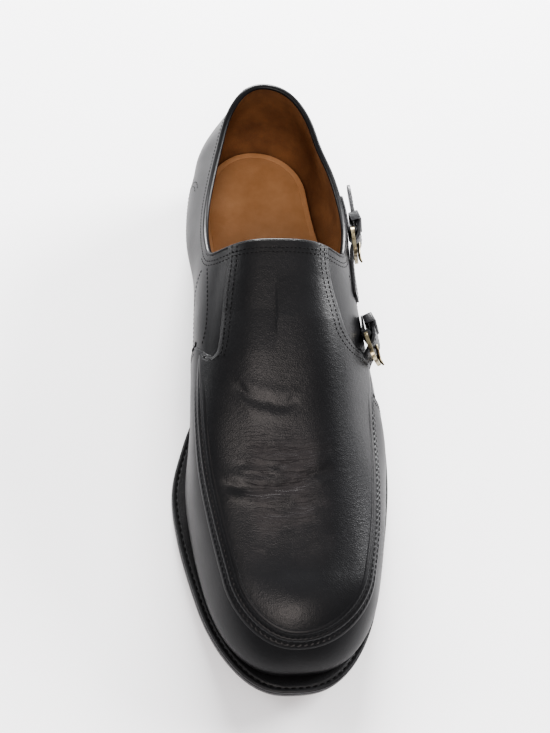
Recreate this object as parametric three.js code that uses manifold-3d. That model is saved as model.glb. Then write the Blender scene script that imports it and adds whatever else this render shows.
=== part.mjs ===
// A man's black leather shoe with two buckled side straps, for the left foot, in millimetres.
// The toe points to -Y, the outer side of the foot to +X, and Z is up. The origin is on the floor,
// under the middle of the heel. A "station" is a distance forward from the rear end of the sole.
import * as THREE from "three";
import { mergeVertices } from "three/addons/utils/BufferGeometryUtils.js";
import Module from "manifold-3d";

const wasm = await Module();
wasm.setup();

// Driving sizes of the shoe
const SOLE_LENGTH = 302;
const HEEL_MIDDLE = 36; // station over which the origin lies
const HEEL_HEIGHT = 24; // floor to the underside of the sole, over the heel
const HEEL_BREAST = 76; // station of the heel's front face
const HEEL_BACK = 35; // half width of the heel behind
const HEEL_FRONT = 36.5; // and at its breast
const BREAST_DEPTH = 5; // hollow of the breast
const TOP_LIFT = 6; // rubber at the foot of the heel
const TREAD_START = 172; // the sole is flat on the floor from here
const TREAD_END = 228; // to here
const TOE_SPRING = 10; // rise of the sole's tip
const OUTSOLE = 5.6;
const WELT = 3;
const SOCK = 3.6; // insole board and its leather sock
const WALL = 2.2; // upper leather and lining
const GAP = 0.3; // between pieces that are sewn or glued
const BINDING_WELT = 0.6; // clear space between the upper and the inside of the welt

// Turns of the outline at the two ends, round which the sections fan out: how far each level reaches
// beyond the turn's centre, and the exponent of its curve, where 2 is a true ellipse
const HEEL_CENTRE = 32;
const TOE_CENTRE = 254;
const TOE_SHIFT = 8; // the toe's middle lies this far to the outer side
const HEEL_REACH = { sole: 32, foot: 29, full: 33, seam: 28.8 };
const TOE_REACH = { sole: 48, foot: 38.5, full: 39, seam: 27.3 };
const HEEL_TURN = { sole: 2.1, foot: 2.1, full: 2.1, seam: 2.1 };
const TOE_TURN = { sole: 2.7, foot: 2.8, full: 2.8, seam: 2.1 };
const ARC_STEPS = 8;
const SIDE_STEPS = 24;

// Sections of the sole: half widths of its edge on the inner and the outer side of the foot. The last row
// is where the sides would run to without the turn of the toe.
const SOLE_SECTIONS = [
  { at: 0, soleIn: 32.5, soleOut: 33 },
  { at: 32, soleIn: 34, soleOut: 35 },
  { at: 60, soleIn: 35, soleOut: 38 },
  { at: 90, soleIn: 31, soleOut: 44 },
  { at: 120, soleIn: 28.5, soleOut: 53 },
  { at: 150, soleIn: 33.2, soleOut: 61.5 },
  { at: 175, soleIn: 42, soleOut: 64.6 },
  { at: 200, soleIn: 47.8, soleOut: 63.8 },
  { at: 225, soleIn: 45.2, soleOut: 60 },
  { at: 254, soleIn: 37.6, soleOut: 53.5 },
  { at: 302, soleIn: 22, soleOut: 40.5 },
];

// Sections of the upper: half widths where it leaves the sole, at its fullest and at its seam, which is
// the apron's over the foot and the collar's shoulder behind it, the heights of the last two, and the crest
// over the middle. Behind the throat the sections run on above the collar, which is cut afterwards.
const UPPER_SECTIONS = [
  { at: 0, footIn: 27, footOut: 27, fullIn: 31, fullOut: 31, seamIn: 20, seamOut: 24 },
  { at: 32, footIn: 30, footOut: 30.5, fullIn: 34.8, fullOut: 34, seamIn: 22.5, seamOut: 28 },
  { at: 54, footIn: 31.5, footOut: 33, fullIn: 39, fullOut: 40, seamIn: 27, seamOut: 35.5 },
  { at: 80, footIn: 29, footOut: 38, fullIn: 40, fullOut: 43.8, seamIn: 31.5, seamOut: 39.5 },
  { at: 104, footIn: 26.5, footOut: 42.5, fullIn: 36.5, fullOut: 45, seamIn: 32.5, seamOut: 39 },
  { at: 130, footIn: 27, footOut: 49, fullIn: 36.2, fullOut: 49.3, seamIn: 34, seamOut: 42.5 },
  { at: 156, footIn: 31.5, footOut: 54.5, fullIn: 37, fullOut: 55, seamIn: 34.8, seamOut: 48.5 },
  { at: 182, footIn: 37.5, footOut: 57, fullIn: 38.5, fullOut: 58.7, seamIn: 34.5, seamOut: 49.5 },
  { at: 206, footIn: 39.6, footOut: 55.8, fullIn: 40.2, fullOut: 57.5, seamIn: 32.3, seamOut: 49.4 },
  { at: 230, footIn: 36.8, footOut: 53.2, fullIn: 37.4, fullOut: 54.8, seamIn: 27.4, seamOut: 47.2 },
  { at: 254, footIn: 31.5, footOut: 48.5, fullIn: 32.2, fullOut: 50.2, seamIn: 21.4, seamOut: 42.3 },
  { at: 302, footIn: 17.5, footOut: 36.5, fullIn: 18, fullOut: 38, seamIn: 10, seamOut: 31 },
];
const UPPER_HEIGHTS = [
  { at: 0, fullZ: 52, seamInZ: 81, seamOutZ: 81, crestX: 2, crestZ: 134 },
  { at: 32, fullZ: 51, seamInZ: 80, seamOutZ: 80, crestX: 2, crestZ: 130 },
  { at: 54, fullZ: 50, seamInZ: 77, seamOutZ: 77, crestX: 3, crestZ: 125 },
  { at: 80, fullZ: 50, seamInZ: 76, seamOutZ: 76, crestX: 3.5, crestZ: 116 },
  { at: 104, fullZ: 48, seamInZ: 78, seamOutZ: 76, crestX: 3, crestZ: 103.5 },
  { at: 130, fullZ: 42, seamInZ: 74, seamOutZ: 67, crestX: 3, crestZ: 92.5 },
  { at: 156, fullZ: 34, seamInZ: 67.5, seamOutZ: 52, crestX: 4, crestZ: 82 },
  { at: 182, fullZ: 28, seamInZ: 61, seamOutZ: 44.5, crestX: 5.5, crestZ: 70.5 },
  { at: 206, fullZ: 25, seamInZ: 53.5, seamOutZ: 42, crestX: 7, crestZ: 60.5 },
  { at: 230, fullZ: 23, seamInZ: 48, seamOutZ: 41, crestX: 8.5, crestZ: 52.5 },
  { at: 254, fullZ: 23, seamInZ: 44, seamOutZ: 41, crestX: 9.5, crestZ: 48 },
  { at: 302, fullZ: 26, seamInZ: 37, seamOutZ: 38, crestX: 9.5, crestZ: 48 },
];
const CROWN_SHARE = 0.5; // the crown lies this far in from the shoulder to the crest
const CROWN_LIFT = 0.87; // and this far up
const LEVEL_STEPS = 3; // rows of facets between two levels

// Side view of the collar, from the back of the heel to the corner of the throat
const COLLAR = [
  { at: -12, z: 89.5 },
  { at: 6, z: 89 },
  { at: 22, z: 83 },
  { at: 42, z: 77 },
  { at: 66, z: 74.5 },
  { at: 90, z: 76.5 },
  { at: 107, z: 81.5 },
];
const THROAT = [
  { at: 109, z: 87 },
  { at: 109.8, z: 95 },
  { at: 110.5, z: 104 },
];
const ABOVE = 150; // clear of everything
const BESIDE = 80; // clear of both sides
const RUN_DOWN = 8; // a cutting form runs this far below the foot of the upper

// Plan of the apron behind its seam: the throat flap's stitched edge and the hollow at each side
const APRON_THROAT = [
  { at: 96, throatIn: 20.5, throatOut: 25.5 },
  { at: 126, throatIn: 23.5, throatOut: 27.5 },
  { at: 139, throatIn: 25.5, throatOut: 34 },
  { at: 145, throatIn: 28, throatOut: 38 },
  { at: 149, throatIn: 35, throatOut: 46 },
];
const APRON = 1.3; // how far the apron stands on the vamp

const BACK_STRAP = { halfWidth: 10, thick: 1.2, top: 88, reach: 22 };

// The two fastenings on the outer side. A strap is sewn down at its front, passes under the buckle's front
// bar and over its rear bar, and its tail points to the heel. A tab sewn to the quarter holds the rear bar.
// "up" is the height of the middle and "off" the distance from the upper to the inner face; "seat" is the
// tab's own at its sewn end.
const STRAP = { width: 12, thick: 1.6 };
const TAB_THICK = 1;
const BUCKLE = { length: 15, width: 18, bar: 2, thick: 1.8, corner: 3.5 };
const EYE = 1.45; // radius inside the tab's turned end, round the rear bar
const PRONG = { wide: 1.8, thick: 1.2, slot: 2.6 };
const LOOP = { wide: 5, thick: 0.9, room: 0.8, play: 0.9, behind: 5.8 }; // "behind" the rear bar
const FASTENINGS = [
  {
    name: "upper",
    seat: 0.4,
    tabLength: 22,
    rear: { at: 84, up: 67.5, off: 2.65 },
    front: { at: 97, up: 66, off: 3.2 },
    strap: [
      { at: 121, up: 65, off: 0.4 },
      { at: 114, up: 65.2, off: 0.4 },
      { at: 107, up: 65.4, off: 0.4 },
      { at: 101, up: 65.7, off: 0.4 },
      { at: 95.5, up: 66.2, off: 0.5 },
      { at: 91.5, up: 66.7, off: 2 },
      { at: 87.8, up: 67.1, off: 4.6 },
      { at: 84, up: 67.5, off: 5.3 },
      { at: 80.5, up: 67.7, off: 5 },
      { at: 78.2, up: 67.8, off: 4.2 },
      { at: 76, up: 67.9, off: 4 },
      { at: 73, up: 68, off: 3.9 },
      { at: 65, up: 67.8, off: 4.6 },
      { at: 56, up: 67, off: 5.6 },
    ],
  },
  {
    name: "lower",
    seat: 0.7,
    tabLength: 11,
    rear: { at: 138, up: 56.5, off: 2.65 },
    front: { at: 151, up: 54, off: 5.7 },
    strap: [
      { at: 153.5, up: 53.4, off: 2.1 },
      { at: 149.5, up: 54.3, off: 2.2 },
      { at: 145.5, up: 55.2, off: 3 },
      { at: 142, up: 56, off: 5.2 },
      { at: 138, up: 56.5, off: 5.6 },
      { at: 134.5, up: 56.7, off: 5.2 },
      { at: 132.2, up: 56.7, off: 4.2 },
      { at: 130, up: 56.6, off: 4 },
      { at: 127.5, up: 56.4, off: 3.9 },
    ],
  },
];

const LEATHER = new THREE.MeshStandardMaterial({ color: 0x17171a, roughness: 0.38, metalness: 0 });
const STRAP_LEATHER = new THREE.MeshStandardMaterial({ color: 0x242326, roughness: 0.5, metalness: 0 });
const SOLE_LEATHER = new THREE.MeshStandardMaterial({ color: 0x141414, roughness: 0.45, metalness: 0 });
const RUBBER = new THREE.MeshStandardMaterial({ color: 0x101010, roughness: 0.8, metalness: 0 });
const SOCK_LEATHER = new THREE.MeshStandardMaterial({ color: 0xb07a4c, roughness: 0.6, metalness: 0 });
const METAL = new THREE.MeshStandardMaterial({ color: 0x8d8468, roughness: 0.42, metalness: 1 });

// A smooth value of one column of a table at any station
function column(rows, name, at) {
  const last = rows.length - 1;
  const x = THREE.MathUtils.clamp(at, rows[0].at, rows[last].at);
  let k = 0;
  while (k < last - 1 && rows[k + 1].at < x) k += 1;
  const slope = (i) => {
    const a = rows[Math.max(i - 1, 0)];
    const b = rows[Math.min(i + 1, last)];
    return (b[name] - a[name]) / (b.at - a.at);
  };
  const [p, q] = [rows[k], rows[k + 1]];
  const span = q.at - p.at;
  const t = (x - p.at) / span;
  const rise = q[name] - p[name];
  const easeIn = slope(k) * span;
  const easeOut = slope(k + 1) * span;
  return p[name] + t * (easeIn + t * (3 * rise - 2 * easeIn - easeOut + t * (easeIn + easeOut - 2 * rise)));
}

// Height of the sole's underside
function underside(at) {
  if (at > TREAD_END) {
    const share = (at - TREAD_END) / (SOLE_LENGTH - TREAD_END);
    return TOE_SPRING * share ** 1.8;
  }
  if (at > TREAD_START) return 0;
  const share = THREE.MathUtils.clamp((TREAD_START - at) / (TREAD_START - HEEL_BREAST), 0, 1);
  return HEEL_HEIGHT * THREE.MathUtils.smoothstep(share, 0, 1);
}
const soleTop = (at) => underside(at) + OUTSOLE;
const yOf = (at) => HEEL_MIDDLE - at;

// The stops round the outline, seen from above against the clock: back of the heel, inner side, toe, outer
// side. Stop k and stop (count - k) face each other.
function outlineStops() {
  const half = [];
  for (let i = 0; i < ARC_STEPS; i += 1) {
    half.push({ at: HEEL_CENTRE, turn: (Math.PI / 2) * (1 - i / ARC_STEPS), end: -1 });
  }
  for (let i = 0; i <= SIDE_STEPS; i += 1) {
    half.push({ at: THREE.MathUtils.lerp(HEEL_CENTRE, TOE_CENTRE, i / SIDE_STEPS), turn: 0, end: 0 });
  }
  for (let i = 1; i <= ARC_STEPS; i += 1) {
    half.push({ at: TOE_CENTRE, turn: (Math.PI / 2) * (i / ARC_STEPS), end: 1 });
  }
  const inner = half.map((stop) => ({ ...stop, side: -1 }));
  const outer = half.slice(1, -1).reverse().map((stop) => ({ ...stop, side: 1 }));
  return [...inner, ...outer];
}
const STOPS = outlineStops();

const sideName = (side) => (side < 0 ? "In" : "Out");

// Plan point of a stop at one level of the tables
function planPoint(rows, level, stop) {
  const halfAt = (at) => column(rows, level + sideName(stop.side), at);
  if (stop.end === 0) return { x: stop.side * halfAt(stop.at), at: stop.at };
  const [reach, power] = stop.end < 0
    ? [-HEEL_REACH[level], 2 / HEEL_TURN[level]]
    : [TOE_REACH[level], 2 / TOE_TURN[level]];
  const at = stop.at + reach * Math.sin(stop.turn) ** power;
  const middle = stop.end < 0 ? 0 : TOE_SHIFT;
  const half = stop.side * halfAt(at) - middle;
  return { x: middle + half * Math.cos(stop.turn) ** power, at };
}

// Rings of the sole's edge, drawn in by "inset", at a height that depends on the station
function soleRing(inset, height) {
  const plan = STOPS.map((stop) => planPoint(SOLE_SECTIONS, "sole", stop));
  const count = plan.length;
  return plan.map((p, i) => {
    const [before, after] = [plan[(i + count - 1) % count], plan[(i + 1) % count]];
    const inward = new THREE.Vector2(after.at - before.at, after.x - before.x).normalize();
    return new THREE.Vector3(p.x + inward.x * inset, yOf(p.at - inward.y * inset), height(p.at));
  });
}

// Control points of the upper's skin at a stop: foot, fullest, shoulder, crown and crest
function skinProfile(stop) {
  const level = (name, z) => {
    const plan = planPoint(UPPER_SECTIONS, name, stop);
    return new THREE.Vector3(plan.x, yOf(plan.at), z(plan.at));
  };
  const foot = level("foot", (at) => soleTop(at) + GAP);
  const full = level("full", (at) => column(UPPER_HEIGHTS, "fullZ", at));
  const shoulder = level("seam", (at) => column(UPPER_HEIGHTS, `seam${sideName(stop.side)}Z`, at));
  const crest = new THREE.Vector3(
    column(UPPER_HEIGHTS, "crestX", stop.at),
    yOf(stop.at),
    column(UPPER_HEIGHTS, "crestZ", stop.at),
  );
  const crown = shoulder.clone().lerp(crest, CROWN_SHARE);
  crown.z = THREE.MathUtils.lerp(shoulder.z, crest.z, CROWN_LIFT);
  const beyond = new THREE.Vector3(2 * crest.x - crown.x, 2 * crest.y - crown.y, crown.z);
  const curve = new THREE.CatmullRomCurve3([foot, full, shoulder, crown, crest, beyond]);
  const rows = [];
  for (let i = 0; i <= 4 * LEVEL_STEPS; i += 1) rows.push(curve.getPoint(i / (5 * LEVEL_STEPS)));
  return rows;
}
const SKIN = STOPS.map(skinProfile);
const TOP_ROW = 4 * LEVEL_STEPS;

// Outward direction of the skin at a grid point. Along the crest it leans only fore and aft, so that both
// sides of a section agree.
function skinNormal(i, j) {
  const count = SKIN.length;
  if (j === TOP_ROW) {
    const { at } = STOPS[i];
    const slope = column(UPPER_HEIGHTS, "crestZ", at + 1) - column(UPPER_HEIGHTS, "crestZ", at - 1);
    return new THREE.Vector3(0, slope / 2, 1).normalize();
  }
  const round = SKIN[(i + 1) % count][j].clone().sub(SKIN[(i + count - 1) % count][j]);
  const up = SKIN[i][j + 1].clone().sub(SKIN[i][Math.max(j - 1, 0)]);
  return round.cross(up).normalize();
}
const NORMALS = SKIN.map((rows, i) => rows.map((_, j) => skinNormal(i, j)));

// A closed manifold from triangles given as corner points
function solidOf(triangles) {
  const positions = triangles.flatMap((t) => t.flatMap((p) => [p.x, p.y, p.z]));
  const loose = new THREE.BufferGeometry();
  loose.setAttribute("position", new THREE.Float32BufferAttribute(positions, 3));
  const merged = mergeVertices(loose, 1e-3);
  const index = Array.from(merged.index.array);
  const kept = [];
  for (let k = 0; k < index.length; k += 3) {
    const [a, b, c] = index.slice(k, k + 3);
    if (a !== b && b !== c && c !== a) kept.push(a, b, c);
  }
  return new wasm.Manifold(
    new wasm.Mesh({
      numProp: 3,
      vertProperties: merged.attributes.position.array,
      triVerts: new Uint32Array(kept),
    }),
  );
}

function quad(list, a, b, c, d) {
  list.push([a, b, c], [a, c, d]);
}

// Rings joined one above the other, each with the same stops, listed from the bottom up
function ringWalls(rings) {
  const list = [];
  for (let r = 0; r + 1 < rings.length; r += 1) {
    rings[r].forEach((_, i) => {
      const n = (i + 1) % rings[r].length;
      quad(list, rings[r][i], rings[r][n], rings[r + 1][n], rings[r + 1][i]);
    });
  }
  return list;
}

// A lid over one ring, made of strips from side to side
function ringLid(ring, facingUp) {
  const list = [];
  const count = ring.length;
  for (let k = 0; k < count / 2; k += 1) {
    const [a, b] = [ring[k], ring[k + 1]];
    const [c, d] = [ring[(count - k - 1) % count], ring[(count - k) % count]];
    if (facingUp) quad(list, a, b, c, d);
    else quad(list, d, c, b, a);
  }
  return list;
}

function stackSolid(rings) {
  return solidOf([...ringWalls(rings), ...ringLid(rings[0], false), ...ringLid(rings.at(-1), true)]);
}

// The whole form of the upper, grown by "offset" and run down by "drop" below its foot
function upperForm(offset, drop = 0) {
  const rings = [];
  for (let j = 0; j <= TOP_ROW; j += 1) {
    rings.push(
      SKIN.map((rows, i) => {
        const point = rows[j].clone().addScaledVector(NORMALS[i][j], offset);
        if (j === 0) point.z = rows[0].z;
        return point;
      }),
    );
  }
  if (drop > 0) rings.unshift(rings[0].map((p) => new THREE.Vector3(p.x, p.y, p.z - drop)));
  return stackSolid(rings);
}

function solidOfGeometry(geometry) {
  const plain = geometry.index ? geometry.toNonIndexed() : geometry.clone();
  const p = plain.getAttribute("position");
  const triangles = [];
  for (let k = 0; k < p.count; k += 3) {
    triangles.push([0, 1, 2].map((n) => new THREE.Vector3().fromBufferAttribute(p, k + n)));
  }
  return solidOf(triangles);
}

function geometryOf(solid) {
  const mesh = solid.getMesh();
  const geometry = new THREE.BufferGeometry();
  const positions = [];
  for (let i = 0; i < mesh.numVert; i += 1) {
    positions.push(...mesh.vertProperties.subarray(i * mesh.numProp, i * mesh.numProp + 3));
  }
  geometry.setAttribute("position", new THREE.Float32BufferAttribute(positions, 3));
  geometry.setIndex(Array.from(mesh.triVerts));
  geometry.computeVertexNormals();
  return geometry;
}

// A side view of points {at, z}, extruded across the shoe from x = low to x = high
function sidePrism(points, low, high) {
  const shape = new THREE.Shape(points.map((p) => new THREE.Vector2(yOf(p.at), p.z)));
  const geometry = new THREE.ExtrudeGeometry(shape, { depth: high - low, bevelEnabled: false });
  geometry.applyMatrix4(
    new THREE.Matrix4().set(0, 0, 1, low, 1, 0, 0, 0, 0, 1, 0, 0, 0, 0, 0, 1),
  );
  return solidOfGeometry(geometry);
}

// A plan of points {x, at}, extruded upward from z = low to z = high
function planPrism(points, low, high) {
  const shape = new THREE.Shape(points.map((p) => new THREE.Vector2(p.x, yOf(p.at))));
  const geometry = new THREE.ExtrudeGeometry(shape, { depth: high - low, bevelEnabled: false });
  geometry.translate(0, 0, low);
  return solidOfGeometry(geometry);
}

const smoothLine = (rows, steps) =>
  new THREE.SplineCurve(rows.map((r) => new THREE.Vector2(r.at, r.z)))
    .getPoints(steps)
    .map((p) => ({ at: p.x, z: p.y }));

// All that lies above the collar and behind the throat's edge
function collarOpening() {
  const collar = smoothLine(COLLAR, 24);
  const throat = smoothLine([COLLAR.at(-1), ...THROAT], 9).slice(1);
  const back = COLLAR[0].at;
  const outline = [...collar, ...throat, { at: THROAT.at(-1).at, z: ABOVE }, { at: back, z: ABOVE }];
  return sidePrism(outline, -BESIDE, BESIDE);
}

function makeUpper() {
  const hollow = upperForm(-WALL, RUN_DOWN);
  return upperForm(0).subtract(hollow).subtract(collarOpening());
}

// Plan of the apron: its seam round the toe, and the hollows and the flap behind
function apronPlan() {
  const [first, last] = [APRON_THROAT[0], APRON_THROAT.at(-1)];
  const seam = STOPS.filter((stop) => stop.end > 0 || (stop.end === 0 && stop.at > last.at + 1)).map(
    (stop) => planPoint(UPPER_SECTIONS, "seam", stop),
  );
  const flank = (side) => {
    const points = [];
    const steps = 14;
    for (let i = 0; i <= steps; i += 1) {
      const at = THREE.MathUtils.lerp(first.at, last.at, i / steps);
      points.push({ x: side * column(APRON_THROAT, `throat${sideName(side)}`, at), at });
    }
    return points;
  };
  return [...flank(-1), ...seam, ...flank(1).reverse()];
}

function makeApron() {
  const skin = upperForm(GAP + APRON).subtract(upperForm(GAP));
  const below = 30; // lower than any of its seam
  return skin.intersect(planPrism(apronPlan(), below, ABOVE)).subtract(collarOpening());
}

function makeBackStrap() {
  const skin = upperForm(GAP + BACK_STRAP.thick).subtract(upperForm(GAP));
  const { halfWidth, reach } = BACK_STRAP;
  const behind = -20;
  const strip = planPrism(
    [
      { x: -halfWidth, at: behind },
      { x: -halfWidth, at: reach },
      { x: halfWidth, at: reach },
      { x: halfWidth, at: behind },
    ],
    soleTop(0) + WELT + 2 * GAP,
    BACK_STRAP.top,
  );
  return skin.intersect(strip);
}

function makeOutsole() {
  const rounded = 0.8; // softened arris of the sole's edge
  return stackSolid([
    soleRing(rounded, underside),
    soleRing(0, (at) => underside(at) + rounded),
    soleRing(0, (at) => soleTop(at) - rounded),
    soleRing(rounded, soleTop),
  ]);
}

// Ring of the upper's foot, grown by "offset"
function footRing(offset, height) {
  return SKIN.map((rows, i) => {
    const point = rows[0].clone().addScaledVector(NORMALS[i][0], offset);
    point.z = height(HEEL_MIDDLE - point.y);
    return point;
  });
}

function makeWelt() {
  const edge = 0.7; // softened upper arris
  const inset = 0.3; // behind the sole's edge
  const over = (at) => soleTop(at) + GAP + WELT;
  const slab = stackSolid([
    soleRing(2 * inset, (at) => soleTop(at) + GAP),
    soleRing(inset, (at) => over(at) - edge),
    soleRing(inset + edge, over),
  ]);
  return slab.subtract(upperForm(BINDING_WELT, RUN_DOWN));
}

function makeSock() {
  const play = 0.7; // between the sock and the upper's inside
  const edge = 0.6; // softened upper arris
  const base = (at) => soleTop(at) + GAP;
  const ring = (height, inset) => footRing(-WALL - inset, height);
  return stackSolid([
    ring(base, play),
    ring((at) => base(at) + SOCK - edge, play),
    ring((at) => base(at) + SOCK, play + edge),
  ]);
}

// A layer of the heel between two heights, with its curved front face
function heelLayer(low, high, insetLow, insetHigh) {
  const [roundSteps, breastSteps] = [20, 8];
  const ring = (inset, height) => {
    const points = [];
    for (let i = 0; i <= roundSteps; i += 1) {
      const turn = Math.PI * (i / roundSteps);
      const across = Math.cos(turn);
      const power = 2 / HEEL_TURN.sole;
      const x = Math.sign(across) * (HEEL_BACK - inset) * Math.abs(across) ** power;
      const at = HEEL_CENTRE - (HEEL_CENTRE - inset) * Math.sin(turn) ** power;
      points.push(new THREE.Vector3(x, yOf(at), height(at)));
    }
    for (let i = 0; i <= breastSteps; i += 1) {
      const share = i / breastSteps;
      const x = THREE.MathUtils.lerp(inset - HEEL_FRONT, HEEL_FRONT - inset, share);
      const at = HEEL_BREAST - BREAST_DEPTH * (1 - (2 * share - 1) ** 2);
      points.push(new THREE.Vector3(x, yOf(at), height(at)));
    }
    return points;
  };
  const lower = ring(insetLow, low);
  const upper = ring(insetHigh, high);
  const lid = (points, up) => {
    const shape = points.map((p) => new THREE.Vector2(p.x, p.y));
    const faces = THREE.ShapeUtils.triangulateShape(shape, []);
    return faces.map((f) => (up ? f : [f[0], f[2], f[1]]).map((n) => points[n]));
  };
  return solidOf([...ringWalls([lower, upper]), ...lid(lower, false), ...lid(upper, true)]);
}

// The heel narrows toward the floor by these insets
const HEEL_INSET = { floor: 2.4, lift: 2, stackFoot: 2.2, stackTop: 0.8 };

function makeTopLift() {
  return heelLayer(() => 0, () => TOP_LIFT, HEEL_INSET.floor, HEEL_INSET.lift);
}

function makeHeelStack() {
  const top = (at) => underside(at) - GAP;
  return heelLayer(() => TOP_LIFT + GAP, top, HEEL_INSET.stackFoot, HEEL_INSET.stackTop);
}

// Point of the upper's outer side at a station and height
function sidePoint(at, z) {
  const rows = skinProfile({ at, side: 1, turn: 0, end: 0 });
  let k = 0;
  while (k < rows.length - 2 && rows[k + 1].z < z) k += 1;
  const share = (z - rows[k].z) / (rows[k + 1].z - rows[k].z);
  return rows[k].clone().lerp(rows[k + 1], share);
}

// Directions on the upper's outer side: along (toward the heel), up (across a strap) and out
function sideFrame({ at, up, off }) {
  const across = sidePoint(at, up + STRAP.width / 2).sub(sidePoint(at, up - STRAP.width / 2));
  const along = sidePoint(at - 1, up).sub(sidePoint(at + 1, up)).normalize();
  const out = along.clone().cross(across).normalize();
  const middle = sidePoint(at, up).addScaledVector(out, off);
  return { middle, along, up: out.clone().cross(along), out };
}

// The same along a strap, whose own direction follows its line
function strapFrames(rows) {
  const frames = rows.map(sideFrame);
  const middles = frames.map((frame) => frame.middle);
  frames.forEach((frame, i) => {
    const after = middles[Math.min(i + 1, middles.length - 1)];
    const before = middles[Math.max(i - 1, 0)];
    frame.along = after.clone().sub(before).normalize();
    frame.out = frame.along.clone().cross(frame.up).normalize();
    frame.up = frame.out.clone().cross(frame.along);
  });
  return frames;
}

// A flat strip along those frames, with its inner face on their line
function stripSolid(frames, width, thick, tipShare = 1) {
  const rings = frames.map(({ middle, up, out }, i) => {
    const half = (width / 2) * (i === frames.length - 1 ? tipShare : 1);
    const corner = (u, o) => middle.clone().addScaledVector(up, u).addScaledVector(out, o);
    return [corner(-half, 0), corner(-half, thick), corner(half, thick), corner(half, 0)];
  });
  const ends = [];
  quad(ends, rings[0][3], rings[0][2], rings[0][1], rings[0][0]);
  quad(ends, rings.at(-1)[0], rings.at(-1)[1], rings.at(-1)[2], rings.at(-1)[3]);
  const triangles = [...ringWalls(rings), ...ends];
  const solid = solidOf(triangles);
  return solid.volume() > 0 ? solid : solidOf(triangles.map((t) => [t[0], t[2], t[1]]));
}

// Where a buckle lies: its rear bar and its front bar each have a place of their own
function buckleFrame({ rear, front }) {
  const [back, fore] = [sideFrame(rear), sideFrame(front)];
  const along = back.middle.clone().sub(fore.middle).normalize();
  const out = along.clone().cross(back.up.clone().add(fore.up)).normalize();
  const middle = back.middle.clone().add(fore.middle).multiplyScalar(0.5);
  return { middle, along, up: out.clone().cross(along), out };
}

function frameMatrix({ middle, along, up, out }) {
  return new THREE.Matrix4().makeBasis(along, up, out).setPosition(middle);
}

const inFrame = (geometry, frame) => solidOfGeometry(geometry.clone().applyMatrix4(frameMatrix(frame)));

function roundedRectangle(target, length, width, radius) {
  const [a, b] = [length / 2, width / 2];
  target.absarc(a - radius, b - radius, radius, 0, Math.PI / 2);
  target.absarc(-a + radius, b - radius, radius, Math.PI / 2, Math.PI);
  target.absarc(-a + radius, -b + radius, radius, Math.PI, 1.5 * Math.PI);
  target.absarc(a - radius, -b + radius, radius, 1.5 * Math.PI, 2 * Math.PI);
  target.closePath();
  return target;
}

// The buckle's frame, lying in X (along the strap) and Y (across it), with Z out
function buckleGeometry() {
  const { length, width, bar, thick, corner } = BUCKLE;
  const shape = roundedRectangle(new THREE.Shape(), length, width, corner);
  shape.holes.push(roundedRectangle(new THREE.Path(), length - 2 * bar, width - 2 * bar, corner - bar));
  const bevel = 0.4;
  const geometry = new THREE.ExtrudeGeometry(shape, {
    depth: thick - 2 * bevel,
    bevelThickness: bevel,
    bevelSize: bevel,
    bevelOffset: -bevel,
    bevelSegments: 1,
    curveSegments: 3,
  });
  return geometry.translate(0, 0, -thick / 2 + bevel);
}

// A tube or rod round the buckle's rear bar
function rearRod(radius, length) {
  return new THREE.CylinderGeometry(radius, radius, length, 16).translate(rearBarX(), 0, 0);
}
const rearBarX = () => (BUCKLE.length - BUCKLE.bar) / 2;

// The tab: sewn to the quarter, with its end turned round the rear bar and slotted for the prong
function makeTab(fastening, frame) {
  const { rear } = fastening;
  const rows = [0, 0.25, 0.5, 1].map((share) => ({
    at: rear.at - fastening.tabLength * (1 - share),
    up: rear.up,
    off: THREE.MathUtils.lerp(fastening.seat, rear.off - EYE - TAB_THICK, Math.max(0, 2 * share - 1)),
  }));
  const strip = stripSolid(strapFrames(rows.reverse()), STRAP.width, TAB_THICK);
  const eye = inFrame(rearRod(EYE + TAB_THICK, STRAP.width), frame);
  const bore = inFrame(rearRod(EYE, 2 * STRAP.width), frame);
  const [slotLength, slotShift] = [9, 1.3];
  const slotBox = new THREE.BoxGeometry(slotLength, PRONG.slot, slotLength);
  slotBox.translate(rearBarX() - slotShift, 0, 0);
  return strip.add(eye).subtract(bore).subtract(inFrame(slotBox, frame));
}

// The prong: an eye on the rear bar and a pin that rests on the front bar and rises at its tip
function makeProng(frame) {
  const hub = EYE + PRONG.thick - 0.1;
  const bar = rearBarX(); // the rear bar lies at x = bar, the front bar at x = -bar
  const rod = (radius, length) => new THREE.CylinderGeometry(radius, radius, length, 14).translate(bar, 0, 0);
  const rest = BUCKLE.thick / 2 + GAP; // the pin's underside where it rests
  const bow = 0.5; // rise of the pin between the bars
  const side = [
    { x: bar - 1, z: EYE + 0.1 },
    { x: 0, z: rest + bow },
    { x: -bar - 2, z: rest },
    { x: -bar - 6, z: rest + 1.6 },
    { x: -bar - 6.4, z: rest + 2.5 },
    { x: -bar - 2, z: rest + PRONG.thick },
    { x: 0, z: rest + bow + PRONG.thick },
    { x: bar, z: hub },
  ];
  const shape = new THREE.Shape(side.map((p) => new THREE.Vector2(p.x, p.z)));
  const pin = new THREE.ExtrudeGeometry(shape, { depth: PRONG.wide, bevelEnabled: false });
  pin.rotateX(Math.PI / 2).translate(0, PRONG.wide / 2, 0);
  const eye = inFrame(rod(hub, PRONG.wide), frame);
  return eye.add(inFrame(pin, frame)).subtract(inFrame(rod(EYE, 2 * PRONG.wide), frame));
}

// The strap, with the hole that the prong comes up through
function makeStrap(fastening, frame) {
  const tipShare = 0.4; // the tail's tip, as a share of the width
  const strip = stripSolid(strapFrames(fastening.strap), STRAP.width, STRAP.thick, tipShare);
  const [holeLength, holeShift] = [7, 3.2];
  const hole = new THREE.BoxGeometry(holeLength, PRONG.slot, STRAP.width).translate(holeShift, 0, 0);
  return strip.subtract(inFrame(hole, frame));
}

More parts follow.
